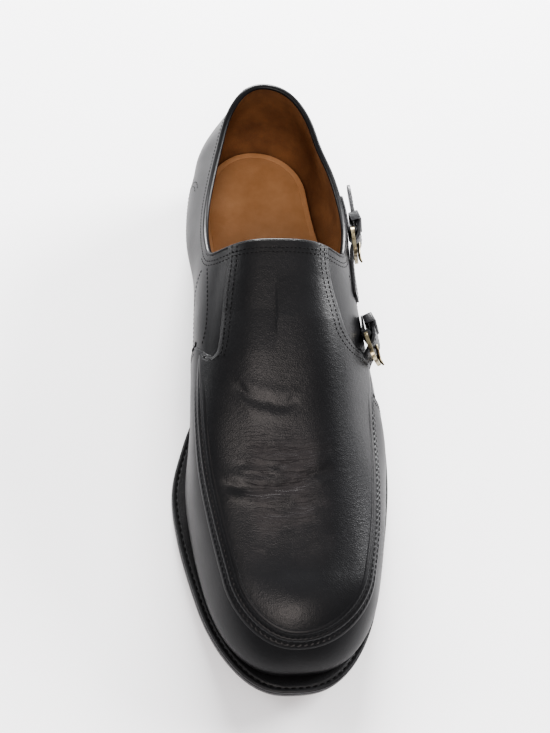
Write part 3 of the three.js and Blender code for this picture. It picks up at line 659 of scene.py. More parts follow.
def antique_bronze(colours):
    """Cast zinc plated in antique bronze and rubbed back: bright and brown in random patches."""
    sheet = Sheet("antique_bronze", Metallic=1.0, Roughness=0.36)
    patina = sheet.noise(210.0, 5.0, 0.65)
    sheet.join(sheet.ramp(patina, 0.36, colours.bronze_dark, 0.58, colours.bronze), "Base Color")
    sheet.join(sheet.ramp(patina, 0.35, grey(0.5), 0.65, grey(0.3)), "Roughness")
    sheet.bump(patina, 0.12, 0.0002)
    return sheet.material


def painted_floor(colours):
    """A matt painted board, pale and even."""
    sheet = Sheet("matt_white_board", Roughness=0.7)
    sheet.join(sheet.ramp(sheet.noise(3.0, 2.0), 0.3, colours.floor, 0.7, linear("#f4f4f5")), "Base Color")
    return sheet.material


def make_materials(colours):
    MATERIALS.update(
        calf=calf_leather(colours),
        creased=creased_calf(colours),
        lining=leather("calf_lining", colours.lining_dark, colours.lining, 0.62, 0.9, 0.3),
        sock=leather("vegetable_tanned_sock", colours.sock_dark, colours.sock, 0.55, 0.8, 0.12),
        strap=leather("black_strap_leather", linear("#17171a"), linear("#2a2a2c"), 0.42, 0.7, 0.3, 0.05),
        welt=leather("black_welt_leather", linear("#121213"), linear("#232325"), 0.5, 0.6, 0.35),
        thread=waxed_thread(colours),
        edge=edge_ink(colours),
        rubber=moulded_rubber(),
        bronze=antique_bronze(colours),
        floor=painted_floor(colours),
    )


OUTLINE = np.linspace(0, 2, 361)[:-1]  # even places round the shoe's outline
WELT_TOP = OUTSOLE + GAP + WELT

# Sections of the sole's pieces. The sole: inset from its outline, a surface, and the height over it
SOLE_SECTION = [
    (9, underside, 0), (1.6, underside, 0), (0.6, underside, 0.3), (0.1, underside, 1), (0, underside, 2),
    (0, sole_top, -1.4), (0.25, sole_top, -0.5), (0.8, sole_top, -0.05), (8, sole_top, 0),
]
# The welt: inset from the sole's outline and depth under the welt's top, then its inner edge, as distance
# from the foot of the upper and depth
WELT_SECTION = [
    (0.7, WELT - 0.05), (0.35, WELT - 0.5), (0.3, 1.2), (0.45, 0.35), (0.95, 0), (1.7, 0), (2.1, 0.3),
    (2.9, 0.34), (3.3, 0.05), (4.0, 0.1),
]
WELT_INNER = [(0.5, 0.1), (-0.9, 0.1), (-0.9, WELT - 0.05)]
WELT_STITCHES = (2.5, 0.12)
# The insole with its sock: inset from the upper's wall and height
SOCK_SECTION = [
    (0.2, 0), (0.2, SOCK - 0.5), (0.6, SOCK), (3, SOCK), (3.6, SOCK - 0.25), (4.4, SOCK), (12, SOCK - 0.5),
]
# The heel: half widths at the back and the front, how far its front is hollowed, its insets and its layers
HEEL_BACK = 35
HEEL_FRONT = 36.5
BREAST_DEPTH = 5
TOP_LIFT_INSETS = (2.4, 2)
HEEL_INSET = 2.2
HEEL_FLARE = 1.4
HEEL_EASE = 0.35
HEEL_LIFTS = 3


def sole_ring(inset, surface, lift):
    """A line inside the sole's outline, at a height over one of its surfaces."""
    side, at, turn, end = stops(OUTLINE)
    x, place = plan_point(SOLE_ROWS, 1, "sole", side, at, turn, end)
    dx, dat = np.roll(x, -1) - np.roll(x, 1), np.roll(place, -1) - np.roll(place, 1)
    length = np.maximum(np.hypot(dx, dat), 1e-9)
    inner = place - dx / length * inset
    return np.stack([x + dat / length * inset, HEEL_MIDDLE - inner, surface(place) + lift], -1)


def foot_ring(offset, surface, lift):
    """A line along the foot of the upper, at a height over one of the sole's surfaces."""
    grid = skin(OUTLINE, np.linspace(0, 0.1, 5))
    points = grid[:, 0] + grid_normals(grid, closed=True)[:, 0] * offset
    points[:, 2] = surface(HEEL_MIDDLE - points[:, 1]) + lift
    return points


def ring_walls(rings, closed=False):
    """Walls between rings that follow each other, and back to the first ring where they are closed."""
    count, total = len(rings[0]), len(rings)
    faces = []
    for r in range(total if closed else total - 1):
        m = (r + 1) % total
        for i in range(count):
            n = (i + 1) % count
            faces.append([r * count + i, r * count + n, m * count + n, m * count + i])
    return np.concatenate(rings), faces


def ring_lid(first, count):
    """Strips from side to side over a ring that starts at the back of the heel."""
    faces = []
    for k in range(count // 2):
        quad = [k, k + 1, (count - k - 1) % count, (count - k) % count]
        if k == 0:
            quad = [0, 1, count - 1]
        elif k == count // 2 - 1:
            quad = [k, k + 1, count - k]
        faces.append([first + n for n in quad])
    return faces


def stacked(name, rings, material, replaces):
    """A solid from rings between two lids."""
    points, faces = ring_walls(rings)
    count = len(rings[0])
    faces += ring_lid(0, count) + ring_lid(len(points) - count, count)
    piece = mesh_object(name, points, faces)
    smooth_by_angle(35)
    seat(piece, [MATERIALS[material]], [replaces])


def make_outsole():
    stacked("sole", [sole_ring(*row) for row in SOLE_SECTION], "edge", "outsole")


def make_sock():
    rings = [foot_ring(-WALL - inset, sole_top, GAP + height) for inset, height in SOCK_SECTION]
    stacked("sock", rings, "sock", "insole")


def make_welt(sizes):
    rings = [sole_ring(inset, underside, WELT_TOP - depth) for inset, depth in WELT_SECTION]
    rings += [foot_ring(offset, underside, WELT_TOP - depth) for offset, depth in WELT_INNER]
    piece = mesh_object("welt_strip", *ring_walls(rings, closed=True))
    smooth_by_angle(40)
    seat(piece, [MATERIALS["welt"]], ["welt"])
    inset, depth = WELT_STITCHES
    line = sole_ring(inset, underside, WELT_TOP - depth)
    up = np.tile((0.0, 0.0, 1.0), (len(line), 1))
    sew("welt_stitches", line, up, sizes.welt_pitch / MM, THREAD["welt"], closed=True)


def heel_ring(inset, height):
    """Plan of the heel, with its hollow front."""
    turn = np.linspace(0, math.pi, 120)
    power = 2 / HEEL_TURN["sole"]
    x = np.sign(np.cos(turn)) * np.abs(np.cos(turn)) ** power * (HEEL_BACK - inset)
    at = HEEL_CENTRE - (HEEL_CENTRE - inset) * np.sin(turn) ** power
    across = np.linspace(-1, 1, 31)
    x = np.concatenate([x, across * (HEEL_FRONT - inset)])
    at = np.concatenate([at, HEEL_BREAST - BREAST_DEPTH * (1 - across**2)])
    return np.stack([x, HEEL_MIDDLE - at, height(at)], -1)


def heel_layer(name, low, high, insets, material, replaces):
    """One layer of the heel between two surfaces, its arrises eased."""
    points, faces = ring_walls([
        heel_ring(insets[0] + HEEL_EASE, low), heel_ring(insets[0], lambda at: low(at) + HEEL_EASE),
        heel_ring(insets[1], lambda at: high(at) - HEEL_EASE), heel_ring(insets[1] + HEEL_EASE, high),
    ])
    count = len(points) // 4
    faces += [list(range(count))[::-1], list(range(len(points) - count, len(points)))]
    piece = mesh_object(name, points, faces)
    smooth_by_angle(40)
    seat(piece, [MATERIALS[material]], [replaces])


def make_heel():
    heel_layer("rubber_lift", lambda at: at * 0, lambda at: at * 0 + TOP_LIFT, TOP_LIFT_INSETS,
               "rubber", "heel_top_lift")
    floor = TOP_LIFT + GAP

    def level(k):
        return lambda at: floor + (underside(at) - GAP - floor) * k / HEEL_LIFTS

    for k in range(HEEL_LIFTS):
        insets = HEEL_INSET - HEEL_FLARE * np.array([k, k + 1]) / HEEL_LIFTS
        heel_layer(f"heel_lift_{k + 1}", level(k), level(k + 1), insets, "edge", "heel_stack")


def make_shell(sizes):
    """The hollow upper: its outer skin, its lining and the rims between them."""
    grid = skin(OUTLINE, spread((0, 0.5, 61), (0.5, CREST_SHARE, 31)))
    normal = grid_normals(grid, closed=True)
    normal[:, -1] = (0, 0, 1)
    shell = patch(grid, grid - normal * sizes.wall / MM, opening_distance(grid), closed=True)
    piece = mesh_object("upper_shell", *shell)
    seat(piece, [MATERIALS["calf"], MATERIALS["lining"], MATERIALS["calf"]], ["upper"])


def rounded(distance, thick, radius=1.1):
    """Height of a sheet of leather whose cut edge is turned down over the last millimetre."""
    into = np.clip(-distance / radius, 0, 1)
    return thick * np.sqrt(np.clip(1 - (1 - into) ** 2, 0, 1))


def plan_line(rows, steps):
    """Smooth line through plan points, as x and y."""
    p = np.array([(x, HEEL_MIDDLE - at, 0.0) for x, at in rows], float)[None]
    return catmull(p, np.linspace(0, 1, steps))[0][:, :2]


def apron_plan():
    """The apron's outline in plan: its rear edges, and the seam round the toe between them."""
    seam = skin(spread((0.53, 1, 110), (1, 1.49, 110)), [SEAM_SHARE])[:, 0]
    return np.concatenate([plan_line(APRON_REAR[-1], 70), seam[:, :2], plan_line(APRON_REAR[1], 70)])


def crease_height(points):
    """Height of the creases at points: a trough with a low ridge on both sides of each."""
    x, at = points[..., 0], HEEL_MIDDLE - points[..., 1]
    height = np.zeros_like(x)
    for x0, at0, x1, at1, sag, depth, width in CREASES:
        share = (x - x0) / (x1 - x0)
        line = at0 + (at1 - at0) * share + 4 * sag * share * (1 - share)
        line = line + 0.35 * np.sin(x * 0.45 + at0) + 0.15 * np.sin(x * 1.1 + at1)
        off = (at - line) / width
        fade = np.clip(share * 5, 0, 1) * np.clip((1 - share) * 5, 0, 1)
        fade = fade * fade * (3 - 2 * fade)
        height += fade * depth * (0.55 * np.exp(-((np.abs(off) - 1.9) ** 2)) - np.exp(-(off**2)))
    return height


APRON_START = 100  # station where the apron's grid begins, under the throat
APRON_STEP = 0.8
CREST_PASSES = 60  # how often the ridge of the foot is evened out
TOE_PASSES = 6
SKIVED = 0.5  # the leather's thickness at the throat
SKIVING = ((140, 158), (125, 143))  # stations over which it thins, on the inner and outer side
CREASE_FADE = 6  # creases fade out this near to the apron's edge
BED = 0.1  # how high the apron's underside lies over the upper
SEAM_FLOOR = 30  # lower than the seam round the toe


def make_apron(sizes):
    """The raised front panel and its flap: a grid across the foot, over the toe taken from above."""
    back = np.arange(APRON_START, TOE_CENTRE + 0.01, APRON_STEP)
    halves = [
        side_skin(back, side, np.linspace(SEAM_SHARE - 0.03, CREST_SHARE, 72)) for side in (-1, 1)
    ]
    rear = np.concatenate([halves[0], halves[1][:, ::-1][:, 1:]], axis=1)
    ease = np.cos(np.linspace(-1, 1, rear.shape[1] - 2) * math.pi / 2)[None, :, None] ** 4
    for _ in range(CREST_PASSES):
        middle = (rear[:, :-2] + 2 * rear[:, 1:-1] + rear[:, 2:]) / 4
        rear[:, 1:-1] += (middle - rear[:, 1:-1]) * ease
    turn = np.linspace(1 - ARC - 0.02, 1 + ARC + 0.02, 160)
    tree = grid_tree(skin(turn, np.linspace(0.33, CREST_SHARE, 60)))
    stations = np.arange(back[-1] + APRON_STEP, TOE_CENTRE + TOE_REACH["seam"] + 1.5, APRON_STEP)
    front = np.zeros((len(stations), rear.shape[1], 3))
    for i, at in enumerate(stations):
        for j, x in enumerate(rear[-1, :, 0]):
            hit = tree.ray_cast(Vector((x, HEEL_MIDDLE - at, ABOVE)), Vector((0, 0, -1)))[0]
            front[i, j] = (x, HEEL_MIDDLE - at, hit.z if hit else SEAM_FLOOR)
    grid = np.concatenate([rear, front])
    smooth_from = len(back) - 10
    for _ in range(TOE_PASSES):
        z = grid[smooth_from:, :, 2]
        z[1:-1, 1:-1] = (z[:-2, 1:-1] + z[2:, 1:-1] + z[1:-1, :-2] + z[1:-1, 2:] + 2 * z[1:-1, 1:-1]) / 6
    normal = grid_normals(grid)
    outline = apron_plan()
    edge = depth_inside(grid[..., :2], outline, outline)
    cut = np.maximum(-edge, opening_distance(grid) + 0.01)
    station = HEEL_MIDDLE - grid[..., 1]
    full = sizes.apron / MM
    inner, outer = (np.interp(station, ends, (SKIVED, full)) for ends in SKIVING)
    skived = np.where(grid[..., 0] < 0, inner, outer)
    folded = crease_height(grid) * sizes.creasing
    lift = GAP + rounded(-edge, skived) + folded * np.clip(edge / CREASE_FADE, 0, 1)
    points, faces, _ = patch(grid + normal * lift[..., None], grid + normal * BED, cut)
    piece = mesh_object("apron_panel", points, faces)
    seat(piece, [MATERIALS["creased"]], ["apron"])


def make_vamp_sides(sizes):
    """The front's sides, from the seams of the quarters round the toe, lapped over the quarters."""
    u = spread((0.44, 0.8, 150), (0.8, 1.2, 160), (1.2, 1.56, 150))
    grid = skin(u, np.linspace(0.015, SEAM_SHARE + 0.1, 64))
    normal = grid_normals(grid)
    flat = side_view(grid)
    cut = np.full(flat.shape[:2], float(EVERYWHERE))
    for side in (-1, 1):
        line = side_view_curve(VAMP_REAR[side], 70)
        behind = depth_inside(flat, np.concatenate([line, BEHIND_VAMP]), line)
        cut = np.maximum(cut, np.where(grid[..., 0] * side > 0, behind, EVERYWHERE))
    outline = apron_plan()
    under = depth_inside(grid[..., :2], outline, outline) - UNDER_APRON
    cut = np.maximum(cut, np.where(grid[..., 2] > SEAM_FLOOR, under, EVERYWHERE))
    lift = rounded(cut, sizes.vamp / MM)
    points, faces, _ = patch(grid + normal * lift[..., None], grid - normal * 0.3, cut)
    seat(mesh_object("vamp_sides", points, faces), [MATERIALS["calf"]])


def running_length(points):
    """Distance along a line, at each of its points."""
    return np.concatenate([[0], np.cumsum(np.linalg.norm(np.diff(points, axis=0), axis=1))])


def interpolated(at, places, table):
    """A table's columns interpolated at new places."""
    return np.stack([np.interp(at, places, column) for column in table.T], -1)


def resampled(points, step, closed=False):
    """Even places along a line: their distances, points and directions, and the line's running length."""
    if closed:
        points = np.concatenate([points, points[:1]])
    length = running_length(points)
    count = max(int(round(length[-1] / step)), 2)
    at = (np.arange(count) + 0.5) * length[-1] / count
    place, ahead, back = (interpolated(at + move, length, points) for move in (0, 0.4, -0.4))
    return at, place, unit(ahead - back), length


def stitch_shape():
    """One stitch as a primitive: a short bead, thick in the middle and sunk at its ends."""
    bpy.ops.object.select_all(action="DESELECT")
    bpy.ops.mesh.primitive_uv_sphere_add(segments=8, ring_count=5, radius=0.5)
    bead = bpy.context.object
    points = np.array([v.co for v in bead.data.vertices])[:, (2, 1, 0)]
    points[:, 2] -= 0.25 * np.abs(points[:, 0] * 2) ** 2
    faces = [list(p.vertices)[::-1] for p in bead.data.polygons]
    bpy.data.objects.remove(bead)
    return points, faces


STITCH = {}
THREAD = {"welt": 0.62, "plan": 0.5, "side": 0.45, "strap": 0.4}  # thickness of each kind of stitch
ON_LEATHER = 0.05  # how high a stitch's middle lies on the leather
EDGE_ROWS = (("collar", 3.4, -50), ("throat", 5.4, 104))  # name, distance from the edge, first station
TACK = {"pitch": 0.62, "wide": 2.2, "high": 0.3, "lift": 0.1}

def sew(name, points, normals, pitch, thick, closed=False, share=0.72, high=0.8):
    """A row of stitches along a line, each a copy of one bead."""
    if not STITCH:
        STITCH["corners"], STITCH["faces"] = stitch_shape()
    at, place, direction, length = resampled(points, pitch, closed)
    if closed:
        normals = np.concatenate([normals, normals[:1]])
    up = interpolated(at, length, normals)
    shape = STITCH["corners"]
    corners, faces = [], []
    for p, along, out in zip(place, direction, up):
        across = unit(np.cross(out, along))
        lift = np.cross(along, across)
        base = len(corners) * len(shape)
        corners.append(p + shape @ np.stack([along * pitch * share, across * thick, lift * thick * high]))
        faces += [[base + v for v in face] for face in STITCH["faces"]]
    seat(mesh_object(name, np.concatenate(corners), faces), [MATERIALS["thread"]])


def leather_tree():
    """The outer surfaces of the upper's pieces, to settle seams on."""
    corners, faces = [], []
    for name in ("upper_shell", "apron_panel", "vamp_sides"):
        mesh = bpy.data.objects[name].data
        base = len(corners)
        corners += [v.co / MM for v in mesh.vertices]
        faces += [[base + v for v in p.vertices] for p in mesh.polygons]
    return BVHTree.FromPolygons(corners, faces)


def settled(tree, starts, directions, lift):
    """Where rays from the starts meet the leather, and its smoothed normals."""
    points, normals = [], []
    for start, direction in zip(starts, directions):
        place, normal, _, _ = tree.ray_cast(Vector(start), Vector(direction))
        if place is None:
            continue
        normal = -normal if normal.dot(Vector(direction)) > 0 else normal
        points.append(np.array(place))
        normals.append(np.array(normal))
    points, normals = np.array(points), np.array(normals)
    for _ in range(4):
        middle = (normals[:-2] + 2 * normals[1:-1] + normals[2:]) / 4
        normals = np.concatenate([normals[:1], middle, normals[-1:]])
    normals = unit(normals)
    return points + normals * lift, normals


def settled_aside(tree, side, line, lift):
    """A side-view line settled on the leather from one side."""
    starts = [(side * BESIDE, HEEL_MIDDLE - at, z) for at, z in line]
    return settled(tree, starts, [(-side, 0, 0)] * len(line), lift)


def make_stitches(sizes):
    """Every row sewn through the upper, laid on the leather it holds."""
    tree = leather_tree()
    pitch = sizes.stitch_pitch / MM
    for name, rows in PLAN_ROWS:
        starts = [(x, y, ABOVE) for x, y in plan_line(rows, 120)]
        points, normals = settled(tree, starts, [(0, 0, -1)] * len(starts), ON_LEATHER)
        sew(f"{name}_stitches", points, normals, pitch, THREAD["plan"])
    for name, side, rows in SIDE_ROWS:
        points, normals = settled_aside(tree, side, side_view_curve(rows, 90), ON_LEATHER)
        sew(f"{name}_stitches", points, normals, pitch, THREAD["side"])
    edge, out = boundary_loop()
    down = np.cross(out, unit(np.roll(edge, -1, 0) - np.roll(edge, 1, 0)))
    down = unit(down * -np.sign(down[len(down) // 2, 2]))
    for name, inset, start_at in EDGE_ROWS:
        starts = edge + down * inset + out * 8
        chosen = HEEL_MIDDLE - starts[:, 1] > start_at
        first = int(np.argmax(chosen & ~np.roll(chosen, 1))) if not chosen.all() else 0
        order = (np.arange(len(starts)) + first) % len(starts)
        order = order[chosen[order]]
        points, normals = settled(tree, starts[order], -out[order], ON_LEATHER)
        closed = bool(chosen.all())
        sew(f"{name}_stitches", points, normals, 0.9 * pitch, THREAD["side"], closed=closed)


def make_bar_tacks():
    """The short dense stitches that lock the seams' ends at each side of the foot."""
    tree = leather_tree()
    for name, side, first, last in BAR_TACKS:
        points, normals = settled_aside(tree, side, side_view_curve([first, last], 12), TACK["lift"])
        sew(f"{name}_bar_tack", points, normals, TACK["pitch"], TACK["wide"], share=1.0, high=TACK["high"])


# Section of the rolled seam: distance from the seam toward the apron, and height. Then the two rows of
# stitches, each along the bottom of a groove, by its column of the section
SEAM_SECTION = [
    (-5.0, 0.8), (-4.2, 0.98), (-3.5, 1.2), (-2.9, 1.2), (-2.4, 0.95), (-1.9, 0.8), (-1.4, 1.0), (-0.9, 1.5),
    (-0.3, 1.9), (0.3, 1.95), (0.9, 1.75), (1.3, 1.45), (1.7, 1.3), (2.2, 1.5), (2.8, 1.85), (3.6, 1.9),
    (4.3, 1.75), (5.0, 1.5),
]
SEAM_STITCHES = [("apron_outer_stitches", 5), ("apron_inner_stitches", 12)]


def make_apron_seam(sizes):
    """The rolled seam round the apron: a ridge between two grooves, with pulled-in stitches in each."""
    u = spread((0.535, 0.8, 420), (0.8, 1.2, 420), (1.2, 1.465, 420))
    widths, heights = np.array(SEAM_SECTION).T
    span = 0.01
    near = skin(u, [SEAM_SHARE - span, SEAM_SHARE + span])
    speed = np.linalg.norm(near[:, 1] - near[:, 0], axis=1) / (2 * span)
    share = SEAM_SHARE + widths[None] / speed[:, None]
    dense = np.linspace(SEAM_SHARE - 0.12, SEAM_SHARE + 0.12, 49)
    fine = skin(u, dense)
    k = np.clip(np.searchsorted(dense, share) - 1, 0, len(dense) - 2)
    w = ((share - dense[k]) / (dense[1] - dense[0]))[..., None]
    row = np.arange(len(u))[:, None]
    points = fine[row, k] * (1 - w) + fine[row, k + 1] * w
    normal = grid_normals(points)
    length = running_length(points[:, 8])
    fade = np.clip(length / 25, 0, 1) * np.clip((length[-1] - length) / 25, 0, 1)
    pitch = length[-1] / round(length[-1] / (sizes.seam_pitch / MM))
    pull = 1 - (0.5 + 0.5 * np.cos(2 * math.pi * length / pitch)) ** 1.4
    lift = np.tile(heights, (len(u), 1))
    groove = np.exp(-(((widths + 2.0) / 0.55) ** 2)) + np.exp(-(((widths - 1.7) / 0.55) ** 2))
    lift -= 0.72 * (1 - pull)[:, None] * groove[None]
    rest = np.interp(widths, (-5.0, -0.5, 0.5, 5.0), (0.8, 0.85, 1.2, 1.5))
    lift = rest + (lift - rest) * fade[:, None]
    raised = points + normal * lift[..., None]
    corners, faces, _ = patch(raised, points + normal * 0.05, -np.ones(lift.shape))
    seat(mesh_object("apron_seam", corners, faces), [MATERIALS["calf"]])
    for name, column in SEAM_STITCHES:
        out = normal[:, column]
        sew(name, raised[:, column] - out * 0.15, out, pitch, THREAD["side"], share=0.55)


def boundary_loop():
    """The edge of the collar and throat, in order: points and outward normals of the skin."""
    shell = bpy.data.objects["upper_shell"]
    mesh = bmesh.new()
    mesh.from_mesh(shell.data)
    mesh.verts.ensure_lookup_table()
    rim_edges = [
        e for e in mesh.edges
        if len(e.link_faces) == 2 and {f.material_index for f in e.link_faces} == {0, 2}
        and e.verts[0].co.z > 0.06
    ]
    following = {}
    for edge in rim_edges:
        a, b = (v.index for v in edge.verts)
        following.setdefault(a, []).append(b)
        following.setdefault(b, []).append(a)
    start = max(following, key=lambda v: mesh.verts[v].co.z)
    loop, last = [start], None
    while len(loop) <= len(following):
        ahead = [v for v in following[loop[-1]] if v != last]
        last = loop[-1]
        if not ahead or ahead[0] == start:
            break
        loop.append(ahead[0])
    points = np.array([mesh.verts[v].co / MM for v in loop])
    normals = []
    for v in loop:
        outer = [f.normal for f in mesh.verts[v].link_faces if f.material_index == 0]
        normals.append(np.array(sum(outer, Vector()).normalized()))
    mesh.free()
    at, even, _, length = resampled(points, 1.2, closed=True)
    out = interpolated(at, length, np.array([*normals, normals[0]]))
    for _ in range(8):
        even, out = ((np.roll(v, 1, 0) + 2 * v + np.roll(v, -1, 0)) / 4 for v in (even, out))
    return even, unit(out)


def tube(points, normals, section):
    """A closed cord along a closed line, with its section in (out, up) about the line."""
    up = unit(np.cross(normals, unit(np.roll(points, -1, 0) - np.roll(points, 1, 0))))
    if up[len(up) // 2, 2] < 0:
        up = -up
    return ring_walls([points + normals * o + up * h for o, h in section], closed=True)


def make_binding():
    """The folded edge round the collar and throat."""
    even, out = boundary_loop()
    turns = np.linspace(0, 2 * math.pi, 13)[:-1]
    section = [(-1.1 + 1.55 * math.cos(a), 0.1 + math.sin(a)) for a in turns]
    seat(mesh_object("collar_binding", *tube(even, out, section)), [MATERIALS["calf"]])


HEEL_STRIP = {"half": 10.2, "top": 87.2, "thick": 0.9}  # half width, height of its top, thickness


def make_back_strap():
    """The strip sewn over the seam at the back of the heel."""
    u = np.linspace(-0.16, 0.16, 90) % 2
    grid = skin(u, np.linspace(0.04, 0.55, 90))
    normal = grid_normals(grid)
    beside = np.abs(grid[..., 0]) - HEEL_STRIP["half"]
    low = HEEL_HEIGHT + OUTSOLE + WELT + 2 * GAP + 0.4
    cut = [beside, grid[..., 2] - HEEL_STRIP["top"], low - grid[..., 2], opening_distance(grid) + 0.9]
    cut = np.where(grid[..., 1] < 0, -EVERYWHERE, np.maximum.reduce(cut))
    top = grid + normal * (GAP + 0.3 + rounded(cut, HEEL_STRIP["thick"]))[..., None]
    points, faces, _ = patch(top, grid + normal * 0.3, cut)
    seat(mesh_object("heel_strip", points, faces), [MATERIALS["calf"]], ["back_strap"])


# The two fastenings, as in the part's source: station, height, distance from the upper
STRAP_WIDTH = 12
STRAP_THICK = 1.6
TAB_THICK = 1
BUCKLE = {"length": 15, "width": 18, "bar": 2, "thick": 1.8, "corner": 3.5, "inner_corner": 1.6}
REAR_BAR = (BUCKLE["length"] - BUCKLE["bar"]) / 2  # from the buckle's middle
EYE = 1.45  # radius of the bend of the tab round the rear bar
TAIL_TIP = 6  # over how much length the strap's tail narrows, and its sewn base
STRAP_BASE = 3
TAB_TIP = 3
STITCH_ROW = 4.4  # from the middle of the strap
FRAMES = 80  # along a strap
LOOP = {"wide": 5, "thick": 0.9, "room": 0.8, "play": 0.9, "behind": 5.8, "corner": 1.3}
FASTENINGS = {
    "upper": {
        "rear": (84, 67.5, 2.65), "front": (97, 66, 3.2), "seat": 0.4, "tab": 22,
        "sewn": 101,
        "strap": [
            (121, 65, -0.3), (114, 65.2, 0), (107, 65.4, 0.1), (101, 65.7, 0.3), (95.5, 66.2, 0.5),
            (91.5, 66.7, 2), (87.8, 67.1, 4.6), (84, 67.5, 5.3), (80.5, 67.7, 5), (78.2, 67.8, 4.2),
            (76, 67.9, 4), (73, 68, 3.9), (65, 67.8, 4.6), (56, 67, 5.6),
        ],
    },
    "lower": {
        "rear": (138, 56.5, 2.65), "front": (151, 54, 5.7), "seat": 0.7, "tab": 11,
        "sewn": 149,
        "strap": [
            (153.5, 53.4, -1.5), (151.5, 53.8, -0.7), (149, 54.4, 0.6), (145.5, 55.2, 2.8), (142, 56, 5.2),
            (138, 56.5, 5.6), (134.5, 56.7, 5.2), (132.2, 56.7, 4.2), (130, 56.6, 4), (127.5, 56.4, 3.9),
        ],
    },
}


def side_point(at, z):
    """Point of the upper's outer side at a station and height."""
    row = side_skin([at], 1, np.linspace(0, CREST_SHARE, 81))[0]
    k = int(np.clip(np.searchsorted(row[:, 2], z), 1, len(row) - 1))
    w = (z - row[k - 1, 2]) / (row[k, 2] - row[k - 1, 2])
    return Vector(row[k - 1] * (1 - w) + row[k] * w)


def side_frame(at, up, off):
    """Middle, along (toward the heel), up (across a strap) and out on the upper's outer side."""
    across = side_point(at, up + STRAP_WIDTH / 2) - side_point(at, up - STRAP_WIDTH / 2)
    along = (side_point(at - 1, up) - side_point(at + 1, up)).normalized()
    out = along.cross(across).normalized()
    return [side_point(at, up) + out * off, along, out.cross(along), out]


def strap_frames(rows, steps):
    """Frames along a strap, evenly between its rows."""
    table = catmull(np.array(rows, float)[None], np.linspace(0, 1, steps))[0]
    frames = [side_frame(*row) for row in table]
    middles = [f[0] for f in frames]
    for i, f in enumerate(frames):
        f[1] = (middles[min(i + 1, steps - 1)] - middles[max(i - 1, 0)]).normalized()
        f[3] = f[1].cross(f[2]).normalized()
        f[2] = f[3].cross(f[1])
    return frames


def cupped(tree, place, off, share):
    """A point brought to its distance from the upper, by a share of the way."""
    nearest, normal, _, _ = tree.find_nearest(place)
    outward = (place - nearest).dot(normal)
    if normal.x < 0:
        normal, outward = -normal, -outward
    return place + normal * (off - outward) * share


def strip_piece(name, frames, thick, tip, base=0.0, lie=None):
    """A strap from a primitive grid laid on its frames, thickened and with its edges eased. Its tail narrows
    over "tip" and its sewn end over "base", and "lie" moves each point of its inner face."""
    steps = len(frames)
    piece = primitive("grid", name, x_subdivisions=steps - 1, y_subdivisions=6, size=1)
    lengths = [0.0]
    for a, b in zip(frames, frames[1:]):
        lengths.append(lengths[-1] + (b[0] - a[0]).length)
    for vertex in piece.data.vertices:
        i = round((vertex.co.x + 0.5) * (steps - 1))
        share = vertex.co.y * 2
        middle, _, up, _ = frames[i]
        left = lengths[-1] - lengths[i]
        half = STRAP_WIDTH / 2
        if tip and left < tip:
            half *= math.sqrt(max(1 - ((tip - left) / tip) ** 2, 0.012))
        if base and lengths[i] < base:
            half *= 1 - 0.4 * (1 - lengths[i] / base) ** 2
        place = middle + up * share * half
        vertex.co = (lie(i, place) if lie else place) * MM
    only(piece)
    bpy.ops.object.mode_set(mode="EDIT")
    turn_outward()
    outward = sum(p.normal.x * p.area for p in piece.data.polygons)
    side = 1.0 if outward > 0 else -1.0
    modifier(piece, "SOLIDIFY", thickness=thick * MM, offset=side, use_even_offset=True)
    eased(piece, 0.35 * MM, 2, 45)
    return piece


def buckle_axes(fastening):
    """The buckle's place: X runs toward the heel, Y across the strap and Z outward."""
    back, fore = side_frame(*fastening["rear"]), side_frame(*fastening["front"])
    along = (back[0] - fore[0]).normalized()
    out = along.cross(back[2] + fore[2]).normalized()
    return axes_matrix(along, out.cross(along), out, (back[0] + fore[0]) / 2)


def placed(piece, matrix):
    """Moves a piece that was modelled in millimetres at the origin to its place in the shoe."""
    piece.data.transform(Matrix.Scale(MM, 4) @ matrix)
    piece.data.update()
    return piece


def primitive(kind, name, **settings):
    """A mesh primitive in millimetres, with its size and place in its mesh."""
    bpy.ops.object.select_all(action="DESELECT")
    getattr(bpy.ops.mesh, f"primitive_{kind}_add")(**settings)
    piece = bpy.context.object
    piece.name = name
    piece.data.name = name
    bpy.ops.object.transform_apply(location=True, rotation=True, scale=True)
    return piece


def pick(piece, kind, test):
    """In edit mode, selects the faces or edges that pass a test."""
    bpy.ops.mesh.select_mode(type=kind)
    bpy.ops.mesh.select_all(action="DESELECT")
    mesh = bmesh.from_edit_mesh(piece.data)
    for element in mesh.faces if kind == "FACE" else mesh.edges:
        element.select = test(element)
    bmesh.update_edit_mesh(piece.data)


def opened_block(name, size, axis, wall, place=(0, 0, 0)):
    """A block cut through along an axis by insetting both faces and bridging them, left in edit mode."""
    piece = primitive("cube", name, size=1, scale=size, location=place)
    bpy.ops.object.mode_set(mode="EDIT")
    pick(piece, "FACE", lambda face: abs(face.normal[axis]) > 0.9)
    bpy.ops.mesh.inset(thickness=wall, use_individual=True)
    bpy.ops.mesh.bridge_edge_loops()
    return piece


